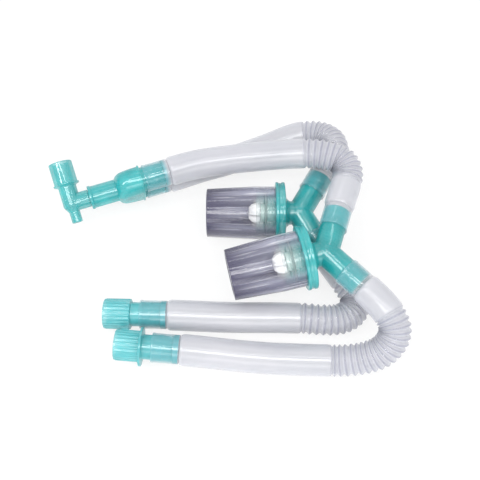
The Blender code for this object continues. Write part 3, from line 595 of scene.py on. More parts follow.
def lathe(name, profile, sides=ROUND, waves=0, closed=False):
    """A solid of revolution about Z. A third value in a profile point is how far its waves reach."""
    rings = []
    for point in profile:
        r, z, reach = (*point, 0.0)[:3]
        if r < AXIS_R:
            rings.append([(0.0, 0.0, z)])
            continue
        ring = []
        for i in range(sides):
            angle = 2 * math.pi * i / sides
            radius = r + reach * math.cos(waves * angle)
            ring.append((radius * math.cos(angle), radius * math.sin(angle), z))
        rings.append(ring)
    return skinned(name, rings, closed)


def rod(name, radius, start, end, sides=SLIM, edge=0.0):
    """A cylinder between two points, its rims rounded."""
    start, end = Vector(start), Vector(end)
    length = (end - start).length
    profile = [(0.0, length), (radius, length), (radius, 0.0), (0.0, 0.0)]
    made = lathe(name, rounded(profile, edge) if edge else profile, sides)
    turn = (end - start).to_track_quat("Z", "Y").to_matrix().to_4x4()
    made.data.transform(Matrix.Translation(start) @ turn)
    return made


def ball(name, radius):
    shape = bmesh.new()
    bmesh.ops.create_uvsphere(shape, u_segments=SLIM, v_segments=SLIM // 2, radius=radius)
    return new_object(name, shape)


def carve(obj, joins=(), cuts=()):
    """Joins and then cuts with the helpers, keeps the result as the object's mesh and drops the helpers."""
    for operation, helpers in (("UNION", joins), ("DIFFERENCE", cuts)):
        for helper in helpers:
            modifier = obj.modifiers.new(operation, "BOOLEAN")
            modifier.operation = operation
            modifier.solver = "EXACT"
            modifier.object = helper
    bpy.context.view_layer.update()
    graph = bpy.context.evaluated_depsgraph_get()
    mesh = bpy.data.meshes.new_from_object(obj.evaluated_get(graph))
    obj.modifiers.clear()
    obj.data = mesh
    for helper in (*joins, *cuts):
        bpy.data.objects.remove(helper, do_unlink=True)
    return obj


def mark(obj, **values):
    """Writes values at the vertices, for the materials to read."""
    for key, numbers in values.items():
        obj.data.attributes.new(key, "FLOAT", "POINT").data.foreach_set("value", numbers)


def dress(obj, matrix, skin, body, node):
    """Carries the piece into place, gives it its material and lets it stand for its CAD node."""
    obj.data.transform(matrix)
    obj.data.materials.clear()
    obj.data.materials.append(skin)
    obj.data.shade_smooth()
    obj.data.set_sharp_from_angle(angle=SHARP_TURN)
    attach(obj, body)
    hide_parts(node)


# Frames of the fittings, as in the source


def frame_matrix(place, x_axis, z_axis):
    turn = Matrix((x_axis, z_axis.cross(x_axis), z_axis)).transposed().to_4x4()
    return Matrix.Translation(place) @ turn


def heading(yaw, rise):
    return Vector((math.cos(rise) * math.cos(yaw), math.cos(rise) * math.sin(yaw), math.sin(rise)))


def level_side(yaw):
    return Vector((-math.sin(yaw), math.cos(yaw), 0.0))


def lying_frame(place, yaw, rise, roll=0.0):
    along, level = heading(yaw, rise), level_side(yaw)
    side = math.cos(roll) * level + math.sin(roll) * along.cross(level)
    return frame_matrix(place, side, along)


def y_frame():
    across = -math.cos(Y_ROLL) * level_side(Y_YAW) + math.sin(Y_ROLL) * Vector((0.0, 0.0, 1.0))
    return frame_matrix(Y_PLACE, across, heading(Y_YAW, 0.0))


def elbow_frame():
    along = heading(Y_YAW, 0.0)
    port = math.cos(ELBOW_RISE) * level_side(Y_YAW) + math.sin(ELBOW_RISE) * Vector((0.0, 0.0, 1.0))
    behind = Y_BODY_LENGTH + SOCKET_LENGTH + FIT + ELBOW_ARM_LENGTH
    return frame_matrix(Y_PLACE - behind * along, along, port)


def arm_way(side):
    """Which way a port of the trap points. Below, each port gives its hose's end and direction."""
    return Vector((side * math.sin(ARM_TILT), 0.0, math.cos(ARM_TILT)))


def trap_port(matrix, side):
    way = (matrix.to_3x3() @ arm_way(side)).normalized()
    return matrix.translation + (ARM_LENGTH + FIT) * way, way


def y_port(matrix, side):
    return matrix @ Vector((side * PORT_SPACING / 2, 0.0, Y_NECK + FIT)), matrix.col[2].to_3d()


def connector_port(matrix):
    way = matrix.col[2].to_3d()
    return matrix.translation + (DRUM_LENGTH + CONNECTOR_NECK + FIT) * way, way


# Fittings


def moulded_ring(radius, z, height, half_top, half_foot):
    """A low ring round a barrel, as profile points from its upper side down."""
    return [(radius, z + half_foot), (radius + height, z + half_top),
            (radius + height, z - half_top), (radius, z - half_foot)]


def port_profile(foot, top):
    """The outside of a 22 mm port from its top down: a rounded lip, two faint grip rings and the barrel."""
    profile = [(PORT_OUTER_R - PORT_LIP, top), (PORT_OUTER_R, top - PORT_LIP_LENGTH)]
    for share in PORT_RINGS:
        profile += moulded_ring(PORT_OUTER_R, foot + share * (top - foot), *PORT_RING)
    return [*profile, (PORT_OUTER_R, foot)]


def stadium(half_spread, radius, height):
    """A ring of points round two half circles."""
    points = []
    for i in range(ROUND):
        angle = 2 * math.pi * (i + 0.5) / ROUND
        points.append((math.copysign(half_spread, math.cos(angle)) + radius * math.cos(angle),
                       radius * math.sin(angle), height))
    return points


def capped(name, sections):
    """A closed solid through sections of equally many points, with flat ends."""
    made = skinned(name, sections)
    shape = bmesh.new()
    shape.from_mesh(made.data)
    edges = [edge for edge in shape.edges if edge.is_boundary]
    bmesh.ops.holes_fill(shape, edges=edges)
    bmesh.ops.recalc_face_normals(shape, faces=shape.faces)
    shape.to_mesh(made.data)
    shape.free()
    return made


def y_piece():
    half = PORT_SPACING / 2
    start = -Y_BODY_LENGTH

    def shell(inset, low, high):
        sections = []
        for i in range(BODY_STEPS + 1):
            share = (i / BODY_STEPS) ** 2
            widen = math.sqrt(1 - (1 - share) ** 2)
            swell = math.sqrt(1 - (1 - min(1.0, Y_SWELL * share)) ** 2)
            radius = Y_BODY_START_R + (Y_BODY_R - Y_BODY_START_R) * swell - inset
            sections.append(stadium(half * widen, radius, low + (high - low) * share))
        return sections

    body = capped("y_piece_visual", shell(0.0, start, -Y_RING_THICK / 2))
    lip = Y_BODY_R + Y_RING_LIP
    ring = capped("y_ring", [
        stadium(half, lip - Y_RING_EDGE, -Y_RING_THICK), stadium(half, lip, Y_RING_EDGE - Y_RING_THICK),
        stadium(half, lip, -Y_RING_EDGE), stadium(half, lip - Y_RING_EDGE, 0.0),
    ])
    end = start - SOCKET_LENGTH
    socket = rounded([
        (0.0, start + 2 * OVERLAP), (SOCKET_OUTER_R, start + 2 * OVERLAP),
        (SOCKET_OUTER_R, end + SOCKET_RIM_LENGTH), (SOCKET_RIM_R, end + 0.8 * SOCKET_RIM_LENGTH),
        (SOCKET_RIM_R, end), (0.0, end),
    ], SOCKET_EDGE)
    joins = [ring, lathe("y_socket", socket)]
    cuts = [capped("y_hollow", shell(Y_WALL, start + Y_WALL, -Y_END_WALL))]
    bore = TAPER_OUTER_R + FIT
    cuts.append(rod("y_socket_bore", bore, (0, 0, end - OVERLAP), (0, 0, start + 4 * OVERLAP)))
    top = Y_NECK + PORT_LENGTH
    for side in (1, -1):
        profile = [(0.0, top), *port_profile(Y_NECK, top), (SHOULDER_R, Y_NECK), (SHOULDER_R, -OVERLAP),
                   (0.0, -OVERLAP)]
        port = lathe(f"y_port_{side}", profile, SLIM)
        port.data.transform(Matrix.Translation((side * half, 0, 0)))
        joins.append(port)
        cuts.append(rod(f"y_bore_{side}", PORT_BORE_R, (side * half, 0, -Y_END_WALL - 2 * OVERLAP),
                        (side * half, 0, top + OVERLAP)))
    return carve(body, joins, cuts)


def elbow():
    top = ELBOW_NECK_LENGTH + PATIENT_PORT_LENGTH
    ring_top = ELBOW_NECK_LENGTH + PATIENT_RING_THICK
    outer = rounded([
        (0.0, top), (PATIENT_PORT_R, top), (PATIENT_PORT_R, ring_top), (PATIENT_RING_R, ring_top),
        (PATIENT_RING_R, ELBOW_NECK_LENGTH), (ELBOW_NECK_R, ELBOW_NECK_LENGTH - PATIENT_RING_CONE),
        (ELBOW_NECK_R, -ELBOW_CHAMFER_TOP), (SAMPLE_PORT_R, -ELBOW_CHAMFER_END),
        (SAMPLE_PORT_R, -SAMPLE_PORT_REACH), (0.0, -SAMPLE_PORT_REACH),
    ], FITTING_EDGE)
    arm_end = ELBOW_ARM_LENGTH
    taper_end = arm_end + TAPER_LENGTH
    way = [
        (0.0, top + OVERLAP), (PATIENT_PORT_BORE_R, top + OVERLAP), (PATIENT_PORT_BORE_R, ring_top),
        (ELBOW_BORE_R, ELBOW_NECK_LENGTH - PATIENT_STEP_CONE), (ELBOW_BORE_R, -ELBOW_BORE_CHAMFER),
        (SAMPLE_BORE_R, -ELBOW_CHAMFER_END), (SAMPLE_BORE_R, -SAMPLE_PORT_REACH - OVERLAP),
        (0.0, -SAMPLE_PORT_REACH - OVERLAP),
    ]
    joins = [
        rod("elbow_arm", ELBOW_ARM_R, (0, 0, 0), (arm_end, 0, 0), edge=ELBOW_ARM_EDGE),
        rod("elbow_taper", TAPER_OUTER_R, (arm_end - 2 * OVERLAP, 0, 0), (taper_end, 0, 0), edge=TAPER_EDGE),
    ]
    cuts = [
        lathe("elbow_way", way),
        rod("elbow_side_way", TAPER_BORE_R, (0, 0, 0), (taper_end + OVERLAP, 0, 0)),
    ]
    return carve(lathe("elbow_visual", outer), joins, cuts)


def trap_lid(name):
    top = -FLANGE_DROP
    crown = top + LID_CONE
    under = top - FLANGE_THICK
    groove_r = FLANGE_R - FLANGE_GROOVE
    roof = top - LID_ROOF
    seat_under = roof - SEAT_DROP
    seal_z = under - SEAL_DROP
    seat_half = SEAL_WIRE_R + FIT
    skirt_end = under - SKIRT_LENGTH
    seal_floor = seal_major() - SEAL_WIRE_R - FIT
    tube_end = under - VALVE_TUBE_LENGTH
    inner = SKIRT_R - SKIRT_WALL
    profile = rounded([
        (0.0, 0.0), (LID_NECK_R, 0.0), (LID_NECK_R, crown + LID_FLARE), (LID_NECK_R + LID_FLARE, crown),
        (FLANGE_R, top), (FLANGE_R, top - FLANGE_BEAD), (groove_r, top - FLANGE_BEAD - FLANGE_GROOVE),
        (groove_r, under + FLANGE_BEAD + FLANGE_GROOVE), (FLANGE_R, under + FLANGE_BEAD), (FLANGE_R, under),
        (SKIRT_R, under), (SKIRT_R, seal_z + seat_half), (seal_floor, seal_z + seat_half),
        (seal_floor, seal_z - seat_half), (SKIRT_R, seal_z - seat_half), (SKIRT_R, skirt_end),
        (inner, skirt_end), (inner, roof), (VALVE_TUBE_R, roof), *tube_rings(under, tube_end),
        (VALVE_TUBE_R, tube_end), (VALVE_TUBE_BORE_R, tube_end), (VALVE_TUBE_BORE_R, seat_under),
        (0.0, seat_under),
    ], FITTING_EDGE)
    seat_top = seat_under + SEAT_THICK
    chamber = [
        (0.0, OVERLAP), (LID_CHAMBER_R, OVERLAP), (LID_CHAMBER_R, seat_top), (SEAT_HOLE_R, seat_top),
        (SEAT_HOLE_R, seat_under - OVERLAP), (0.0, seat_under - OVERLAP),
    ]
    joins = [ball("knuckle", KNUCKLE_R)]
    cuts = [lathe("chamber", chamber), ball("knuckle_bore", KNUCKLE_BORE_R)]
    for side in (1, -1):
        way = arm_way(side)
        joins.append(rod("arm", SHOULDER_R, (0, 0, 0), ARM_LENGTH * way, edge=SHOULDER_EDGE))
        length = ARM_LENGTH + PORT_LENGTH
        foot = ARM_LENGTH - 2 * OVERLAP
        port = lathe("port", [(0.0, length), *port_profile(foot, length), (0.0, foot)], SLIM)
        port.data.transform(way.to_track_quat("Z", "Y").to_matrix().to_4x4())
        joins.append(port)
        cuts.append(rod("bore", PORT_BORE_R, (0, 0, 0), (length + OVERLAP) * way))
    made = carve(lathe(name, profile), joins, cuts)
    inside = [vert.co.z < under - SKIRT_MARK_DROP for vert in made.data.vertices]
    tube_reach = VALVE_TUBE_R + TUBE_MARK_REACH
    near = [math.hypot(vert.co.x, vert.co.y) < tube_reach for vert in made.data.vertices]
    mark(made, skirt=[float(low) for low in inside],
         valve_tube=[float(low and close) for low, close in zip(inside, near)])
    return made


def tube_rings(start, end):
    """Fine moulded rings round the valve tube."""
    rings = []
    for k in range(1, TUBE_RINGS + 1):
        rings += moulded_ring(VALVE_TUBE_R, start + (end - start) * k / (TUBE_RINGS + 1), *TUBE_RING)
    return rings


def seal_major():
    return SKIRT_R + FIT - SEAL_WIRE_R - SEAL_SEAT_DEPTH / 2


def foot_top():
    return -FLANGE_DROP - FLANGE_THICK - VALVE_TUBE_LENGTH - FIT


def trap_cup(name):
    mouth = -FLANGE_DROP - FLANGE_THICK - FIT
    base = mouth - CUP_LENGTH
    floor = base + CUP_FLOOR
    outer = CUP_BORE_R + CUP_WALL
    inner_base = CUP_BASE_R - CUP_WALL
    post_top = foot_top() - FOOT_THICK - FIT
    profile = rounded([
        (0.0, post_top), (POST_R, post_top), (POST_R, floor), (inner_base, floor),
        (CUP_BORE_R, mouth - CUP_COLLAR), (CUP_BORE_R, mouth), (outer, mouth), (outer, mouth - CUP_COLLAR),
        (CUP_BASE_R, base), (CUP_BASE_R - CUP_FOOT_WIDTH, base),
        (CUP_BASE_R - CUP_FOOT_INNER, base + CUP_FOOT_RISE), (0.0, base + CUP_FOOT_RISE),
    ], CUP_EDGE)
    made = lathe(name, profile)
    around, below, end = [], [], []
    for vert in made.data.vertices:
        x, y, z = vert.co
        radius = max(math.hypot(x, y), 1e-4)
        around += (x / radius, y / radius, z)
        below.append(min(1.0, max(0.0, 0.5 - CUP_BELOW_RATE * y / CUP_BORE_R)))
        end.append(float(z < base + CUP_END_HEIGHT and radius > CUP_BASE_R - CUP_END_WIDTH))
    made.data.attributes.new("around", "FLOAT_VECTOR", "POINT").data.foreach_set("vector", around)
    mark(made, below=below, end=end)
    return made


def cup_seal(name):
    middle = -FLANGE_DROP - FLANGE_THICK - SEAL_DROP
    profile = []
    for i in range(WIRE_SIDES):
        angle = -2 * math.pi * i / WIRE_SIDES
        profile.append((seal_major() + SEAL_WIRE_R * math.cos(angle),
                        middle + SEAL_WIRE_R * math.sin(angle)))
    return lathe(name, profile, closed=True)


def valve_heights():
    seat_top = -FLANGE_DROP - LID_ROOF - SEAT_DROP + SEAT_THICK
    return seat_top + VALVE_LIFT, seat_top + VALVE_LIFT - FIT - COLLAR_THICK


def valve_plunger(name):
    seal_under, collar_under = valve_heights()
    head_under = seal_under + VALVE_SEAL_THICK + FIT
    head_top = head_under + HEAD_THICK
    high, low = foot_top(), foot_top() - FOOT_THICK
    profile = rounded([
        (0.0, head_top), (HEAD_R, head_top), (HEAD_R, head_under), (STEM_R, head_under),
        (STEM_R, seal_under - FIT), (COLLAR_R, seal_under - FIT), (COLLAR_R, collar_under),
        (STEM_R, collar_under - COLLAR_CONE), (STEM_R, high), (FOOT_CORE_R, high, 0.6 * FOOT_LOBE),
        (FOOT_CORE_R, high - 0.3 * FOOT_THICK, FOOT_LOBE),
        (FOOT_CORE_R * FOOT_TAPER, low + 0.25 * FOOT_THICK, FOOT_LOBE),
        (FOOT_CORE_R * FOOT_NOSE, low, 0.4 * FOOT_LOBE), (0.0, low),
    ], FOOT_EDGE)
    made = lathe(name, profile, waves=FOOT_LOBES)
    for vert in made.data.vertices:
        x, y, z = vert.co
        if z < high - FOOT_TOP_EDGE:
            share = min(1.0, math.hypot(x, y) / (FOOT_CORE_R * FOOT_NOSE)) ** 2 * (high - z) / FOOT_THICK
            vert.co.z += share * FOOT_SCALLOP * (0.5 - 0.5 * math.cos(FOOT_LOBES * math.atan2(y, x)))
    return made


def valve_seal(name):
    under = valve_heights()[0]
    top = under + VALVE_SEAL_THICK
    flat_r = VALVE_SEAL_R - VALVE_SEAL_BEVEL
    profile = [(STEM_R + FIT, top), (flat_r, top), (VALVE_SEAL_R, top - VALVE_SEAL_THICK / 2),
               (flat_r, under), (STEM_R + FIT, under)]
    return lathe(name, rounded(profile, VALVE_SEAL_EDGE, closed=True), closed=True)


def tube(name, centres, radii, sides, wall=0.0, marks=None):
    """A pipe along the points, solid or with a wall, kept from twisting. Marks hold a value per station."""
    ways = [(b - a).normalized() for a, b in zip(centres, centres[1:])]
    ways = [ways[0]] + [(a + b).normalized() for a, b in zip(ways, ways[1:])] + [ways[-1]]
    side = ways[0].orthogonal().normalized()
    outer, inner = [], []
    for centre, radius, way in zip(centres, radii, ways):
        side = (side - side.dot(way) * way).normalized()
        up = way.cross(side)
        rings = ([], [])
        for i in range(sides):
            angle = 2 * math.pi * i / sides
            out = math.cos(angle) * side + math.sin(angle) * up
            reach = radius(out, centre, i) if callable(radius) else radius
            rings[0].append(centre + reach * out)
            rings[1].append(centre + (reach - wall) * out)
        outer.append(rings[0])
        inner.append(rings[1])
    if wall:
        made = skinned(name, outer + inner[::-1], closed=True)
    else:
        made = skinned(name, [[centres[0]]] + outer + [[centres[-1]]])
    for key, values in (marks or {}).items():
        mark(made, **{key: [value for value in values + values[::-1] for _ in range(sides)]})
    return made


def valve_spring(name):
    top = -FLANGE_DROP - LID_ROOF - SEAT_DROP - FIT - SPRING_WIRE_R
    bottom = foot_top() + FIT + SPRING_WIRE_R
    count = SPRING_TURNS * SPRING_STEPS
    centres = []
    for i in range(count + 1):
        angle = 2 * math.pi * SPRING_TURNS * i / count
        centres.append(Vector((SPRING_R * math.cos(angle), SPRING_R * math.sin(angle),
                               top + (bottom - top) * i / count)))
    return tube(name, centres, [SPRING_WIRE_R] * len(centres), WIRE_SIDES)


def machine_connector(name, extra):
    """A drum whose ribs are waves about its mean radius, with a plain rim, a neck and a hose port."""
    hose_face = DRUM_LENGTH + CONNECTOR_NECK
    half = DRUM_GROOVE / 2
    mean_r = DRUM_R - half
    top = hose_face + PORT_LENGTH
    body = [
        (0.0, top), *port_profile(hose_face - CONNECTOR_PORT_ROOT, top), (PORT_OUTER_R, DRUM_LENGTH),
        (mean_r - DRUM_SHOULDER, DRUM_LENGTH), (mean_r, DRUM_LENGTH - DRUM_SHOULDER_DROP, half),
        (mean_r, DRUM_RIM + DRUM_EDGE, half), (mean_r, DRUM_RIM), (mean_r, DRUM_EDGE),
        (mean_r - DRUM_EDGE, 0.0), (0.0, 0.0),
    ]
    bore = [
        (0.0, top + OVERLAP), (PORT_BORE_R, top + OVERLAP), (PORT_BORE_R, SOCKET_22_DEPTH + SOCKET_22_STEP),
        (SOCKET_22_END_R, SOCKET_22_DEPTH), (SOCKET_22_R, -OVERLAP), (0.0, -OVERLAP),
    ]
    return carve(lathe(name, body, 8 * DRUM_RIBS, DRUM_RIBS), [extra], [lathe("bore", bore)])


def back_lug():
    inner = DRUM_R - LUG_ROOT
    shape = bmesh.new()
    bmesh.ops.create_cube(shape, size=1.0)
    bmesh.ops.scale(shape, vec=(LUG_REACH + DRUM_R - inner, LUG_WIDTH, LUG_LENGTH), verts=shape.verts)
    middle = (-(inner + DRUM_R + LUG_REACH) / 2, 0, DRUM_LENGTH - LUG_LENGTH / 2 - LUG_SETBACK)
    bmesh.ops.translate(shape, vec=middle, verts=shape.verts)
    bmesh.ops.bevel(shape, geom=shape.edges[:], offset=LUG_EDGE, segments=3, affect="EDGES")
    return new_object("lug", shape)


def front_ring():
    high = DRUM_LENGTH - CONNECTOR_RING_SETBACK
    low = high - CONNECTOR_RING_THICK
    corners = [(0.0, high), (CONNECTOR_RING_R, high), (CONNECTOR_RING_R, low), (0.0, low)]
    return lathe("ring", rounded(corners, CONNECTOR_RING_EDGE))


# Hoses


def route(start, start_way, stops, end, end_way):
    """Points along the hose, by the same rule as the source."""
    straight = CUFF_LENGTH + CUFF_STEP
    knots = [SHIFT + Vector(stop) for stop in stops]
    knots = [start + straight * start_way, *knots, end + straight * end_way]
    ways = [start_way]
    ways += [(after - before).normalized() for before, after in zip(knots, knots[2:])]
    ways.append(-end_way)
    points = [start]
    for (a, b), (way_a, way_b) in zip(zip(knots, knots[1:]), zip(ways, ways[1:])):
        span = (b - a).length
        for i in range(ROUTE_STEPS):
            t = i / ROUTE_STEPS
            points.append((2 * t**3 - 3 * t**2 + 1) * a + (t**3 - 2 * t**2 + t) * span * way_a
                          + (3 * t**2 - 2 * t**3) * b + (t**3 - t**2) * span * way_b)
    return points + [knots[-1], end]


def lengths_along(points):
    """How far each point is along the middle line, and along the outside of the bends."""
    middle, outside = [0.0], [0.0]
    for i in range(1, len(points)):
        step = points[i] - points[i - 1]
        bend = step.angle(points[i - 1] - points[i - 2]) if i > 1 else 0.0
        middle.append(middle[-1] + step.length)
        outside.append(outside[-1] + step.length + RIDGE_OUTER_R * bend)
    return middle, outside


def between(value, values, results):
    """The result at a value, on straight lines between the listed ones."""
    i = min(max(bisect.bisect_left(values, value), 1), len(values) - 1)
    share = (value - values[i - 1]) / (values[i] - values[i - 1])
    return results[i - 1] + (results[i] - results[i - 1]) * share


def cuff_stations(extra=0.0):
    """Distances, radii and clearness from a hose's end: lip, clear cuff, shallow groove, round shoulder."""
    cuff = CUFF_LENGTH + extra
    rim = CUFF_OUTER_R + CUFF_LIP
    stations = [(0.0, rim - CUFF_RIM_ROUND, 1.0), (CUFF_RIM_EDGE, rim, 1.0), (CUFF_RIM, rim, 1.0),
                (CUFF_RIM + CUFF_RIM_SLOPE, CUFF_OUTER_R, 1.0)]
    stations += [(CUFF_RIM + (PORT_LENGTH - CUFF_RIM) * k / 8, CUFF_OUTER_R, 1.0) for k in range(1, 9)]
    if extra:
        stations += [(PORT_LENGTH + CUFF_RIM_EDGE, CUFF_OUTER_R, CUFF_EXTRA_CLEAR),
                     (cuff - CUFF_EXTRA_FADE, CUFF_OUTER_R, CUFF_EXTRA_CLEAR)]
    groove_r = CUFF_OUTER_R - CUFF_GROOVE
    stations += [(cuff - CUFF_GROOVE_LENGTH, CUFF_OUTER_R - CUFF_GROOVE_EDGE, 0.8), (cuff, groove_r, 0.7)]
    for k in range(1, 11):
        angle = math.pi / 2 * k / 10
        stations.append((cuff + SHOULDER_LENGTH * (1 - math.cos(angle)),
                         groove_r + (HOSE_OUTER_R - groove_r) * math.sin(angle), max(0.0, 0.7 - 0.1 * k)))
    return stations


def ridge_wave(phase, ridges):
    """How far out the wall stands, 1 on a ridge and 0 in a root. A wave cut short keeps both narrow."""
    if phase < 0.25 or phase > ridges + 0.25:
        out = phase / 0.25 if phase < 0.25 else (ridges + 0.5 - phase) / 0.25
        return PLAIN_SHARE * (1 - out)
    turn = (phase + 0.25) % 1.0
    flank = abs(2 * turn - 1)
    return 0.5 - 0.5 * math.sin(math.pi * (0.5 - flank) * RIDGE_WAVE) / math.sin(RIDGE_WAVE / 2 * math.pi)


def hose(name, start, stops, end, start_smooth, end_smooth, start_extra, end_extra):
    """Cuff, plain stretch, corrugations, plain stretch and cuff, with a mould line down two sides."""
    points = route(*start, stops, *end)
    middle, outside = lengths_along(points)
    length = middle[-1]
    first = between(start_smooth, middle, outside)
    last = between(length - end_smooth, middle, outside)
    ridges = max(1, round((last - first) / RIDGE_PITCH))
    pitch = (last - first) / ridges
    near, far = cuff_stations(start_extra), cuff_stations(end_extra)
    start_lit, end_lit = (CUFF_LENGTH + extra - CUFF_EXTRA_FADE if extra else PORT_LENGTH - TINT_SETBACK
                          for extra in (start_extra, end_extra))

    def plain(low, high):
        count = max(1, round((high - low) / PLAIN_SPACING))
        return [(low + (high - low) * i / count, HOSE_OUTER_R, 0.0, 0.0) for i in range(1, count)]

    stations = [(d, r, 0.0, clear) for d, r, clear in near] + plain(near[-1][0], start_smooth)
    for k in range(ridges * WAVE_STEPS + WAVE_STEPS // 2 + 1):
        phase = k / WAVE_STEPS
        wave = ridge_wave(phase, ridges)
        radius = ROOT_OUTER_R + (RIDGE_VISUAL_R - ROOT_OUTER_R) * wave
        stations.append((between(first + phase * pitch, outside, middle), radius, wave, 0.0))
    stations += plain(stations[-1][0], length - far[-1][0])
    stations += [(length - d, r, 0.0, clear) for d, r, clear in reversed(far)]
    centres, radii, crests, clears, tinted = [], [], [], [], []
    for distance, radius, crest, clear in stations:
        centres.append(between(distance, middle, points))
        crests.append(crest)
        clears.append(clear)
        tinted.append(float(distance < start_lit or length - distance < end_lit))
        loose = min(1.0, max(0.0, min(distance, length - distance) - CUFF_LENGTH) / SWAY_GROWTH)

        def reach(out, centre, i, radius=radius, loose=loose):
            sway = noise.noise((centre + SWAY_RADIUS * out) * SWAY_SCALE)
            seam = MOULD_LINE if i % (HOSE_SIDES // 2) == HOSE_SIDES // 8 else 0.0
            return radius + seam + HOSE_SWAY * loose * min(0.0, sway)

        radii.append(reach)
    marks = {"crest": crests, "clear": clears, "tinted": tinted}
    return tube(name, centres, radii, HOSE_SIDES, HOSE_WALL, marks)


# Build

TEAL = fitting_plastic("fitting_teal", (0.018, 0.38, 0.39, 1.0), (0.05, 0.52, 0.53, 1.0), 0.52, 0.96, 0.22)
Y_TEAL = fitting_plastic("y_piece_teal", (0.014, 0.36, 0.38, 1.0), (0.04, 0.50, 0.51, 1.0), 0.66, 0.96, 0.22)
LID_TEAL = fitting_plastic("lid_teal", (0.008, 0.33, 0.34, 1.0), (0.022, 0.45, 0.46, 1.0), 0.68, 0.97, 0.22,
                           thin_walls=True)
PALE_TEAL = fitting_plastic("connector_teal", (0.05, 0.43, 0.46, 1.0), (0.11, 0.53, 0.57, 1.0), 0.60, 0.97,
                            0.26)
HOSE = hose_plastic()
SMOKE = smoky_plastic()
WHITE = white_plastic()
STEEL = drawn_steel()
VALVE_SILICONE = soft_seal("valve_silicone", (0.58, 0.66, 0.52, 1.0), (0.72, 0.78, 0.66, 1.0), 0.9)
CUP_SILICONE = soft_seal("cup_seal_silicone", (0.26, 0.36, 0.36, 1.0), (0.38, 0.48, 0.47, 1.0), 0.85)

y_matrix = y_frame()
dress(y_piece(), y_matrix, Y_TEAL, "circuit", "y_piece")
dress(elbow(), elbow_frame(), TEAL, "elbow", "elbow")
traps = {
    "back": lying_frame(BACK_TRAP_PLACE, *BACK_TRAP_TURN),
    "front": lying_frame(FRONT_TRAP_PLACE, *FRONT_TRAP_TURN),
}
for side, matrix in traps.items():
    for make, node, skin, body, slot in (
        (trap_lid, "trap_lid", LID_TEAL, "circuit", "teal_plastic"),
        (trap_cup, "trap_cup", SMOKE, side + "_cup", "smoky_plastic"),
        (cup_seal, "cup_seal", CUP_SILICONE, "circuit", "black_rubber"),
        (valve_plunger, "valve_plunger", WHITE, side + "_valve", "white_plastic"),
        (valve_seal, "valve_seal", VALVE_SILICONE, side + "_valve", "silicone"),
        (valve_spring, "valve_spring", STEEL, "circuit", "spring_steel"),
    ):
        dress(make(f"{side}_{node}_visual"), matrix, skin, body, f"{side}_{node}")
connectors = {
    "back": lying_frame(BACK_CONNECTOR_PLACE, *BACK_CONNECTOR_TURN),
    "front": lying_frame(FRONT_CONNECTOR_PLACE, *FRONT_CONNECTOR_TURN),
}
for side, extra in (("back", back_lug), ("front", front_ring)):
    made = machine_connector(side + "_connector_visual", extra())
    dress(made, connectors[side], PALE_TEAL, "circuit", side + "_machine_connector")
for side, port, patient_stops, machine_stops, patient_smooth, machine_smooth in (
    ("front", 1, FRONT_PATIENT_STOPS, FRONT_MACHINE_STOPS, FRONT_PATIENT_SMOOTH, FRONT_MACHINE_SMOOTH),
    ("back", -1, BACK_PATIENT_STOPS, BACK_MACHINE_STOPS, BACK_PATIENT_SMOOTH, BACK_MACHINE_SMOOTH),
):
    made = hose(side + "_patient_hose_visual", y_port(y_matrix, port), patient_stops,
                trap_port(traps[side], 1), patient_smooth, PATIENT_TRAP_SMOOTH, CUFF_EXTRA, 0.0)
    dress(made, Matrix(), HOSE, "circuit", side + "_patient_hose")
    made = hose(side + "_machine_hose_visual", trap_port(traps[side], -1), machine_stops,
                connector_port(connectors[side]), MACHINE_TRAP_SMOOTH, machine_smooth, 0.0, CUFF_EXTRA)
    dress(made, Matrix(), HOSE, "circuit", side + "_machine_hose")


# Studio


def area_light(name, place, size, power):
    """A light that shines at the frame's origin."""
    data = bpy.data.lights.new(name, "AREA")
    data.shape = "RECTANGLE"
    data.size, data.size_y = size
    data.energy = power
    made = bpy.data.objects.new(name, data)
    made.location = place
    made.rotation_euler = (Vector() - Vector(place)).to_track_quat("-Z", "Y").to_euler()
    bpy.context.scene.collection.objects.link(made)


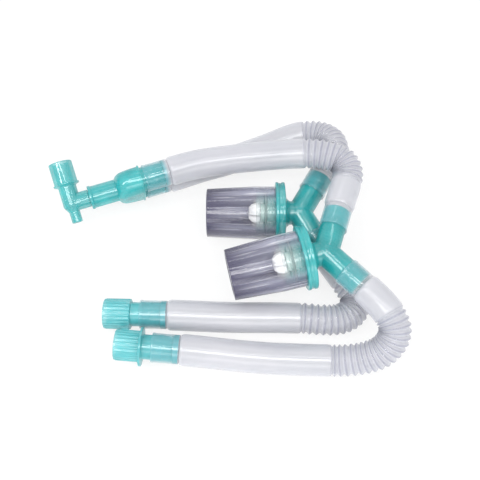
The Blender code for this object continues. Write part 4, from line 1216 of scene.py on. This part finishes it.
def seen_white(tree):
    """1 for rays that show the white background: from the camera, off gloss or through clear plastic."""
    path = add(tree, "LightPath")
    shiny = combined(tree, "MAXIMUM", path.outputs["Is Glossy Ray"], path.outputs["Is Transmission Ray"])
    return combined(tree, "MAXIMUM", path.outputs["Is Camera Ray"], shiny)


def studio():
    scene = bpy.context.scene
    scene.view_settings.view_transform = "Standard"
    world = bpy.data.worlds.new("studio")
    scene.world = world
    world.use_nodes = True
    tree = world.node_tree
    background = tree.nodes["Background"]
    tree.links.new(ranged(tree, seen_white(tree), WORLD_LIGHT, 1.0, 0.0, 1.0), background.inputs["Strength"])
    background.inputs["Color"].default_value = (1.0, 1.0, 1.0, 1.0)

    shape = bmesh.new()
    bmesh.ops.create_grid(shape, x_segments=1, y_segments=1, size=FLOOR_HALF)
    bmesh.ops.translate(shape, vec=(0, 0, -FLOOR_DROP), verts=shape.verts)
    floor = new_object("floor", shape)
    paper = Skin("floor_paper")
    tree = paper.tree
    grain = scaled_noise(tree, paper.place, 300.0)
    tint = varied(tree, grain, (0.86, 0.86, 0.86, 1.0), (0.89, 0.89, 0.89, 1.0))
    paper.set(Base_Color=tint, Roughness=0.9)
    glow = add(tree, "Emission", {"Color": (1.0, 1.0, 1.0, 1.0), "Strength": 1.0})
    share = product(tree, seen_white(tree), FLOOR_GLOW)
    blend = add(tree, "MixShader", {0: share, 1: paper.shader.outputs[0], 2: glow.outputs[0]})
    tree.links.new(blend.outputs[0], tree.nodes["Material Output"].inputs["Surface"])
    floor.data.materials.append(paper.material)

    for light in AREA_LIGHTS:
        area_light(*light)
    scene.cycles.transparent_max_bounces = CLEAR_LAYERS

    camera = bpy.data.cameras.new("camera")
    camera.lens_unit = "FOV"
    camera.angle = CAMERA_ANGLE
    camera.clip_start = CAMERA_NEAR
    holder = bpy.data.objects.new("camera", camera)
    holder.location = SHIFT + CAMERA_DISTANCE * Vector((0.0, -math.cos(CAMERA_RISE), math.sin(CAMERA_RISE)))
    holder.rotation_euler = (math.pi / 2 - CAMERA_RISE, 0.0, 0.0)
    scene.collection.objects.link(holder)
    scene.camera = holder


studio()
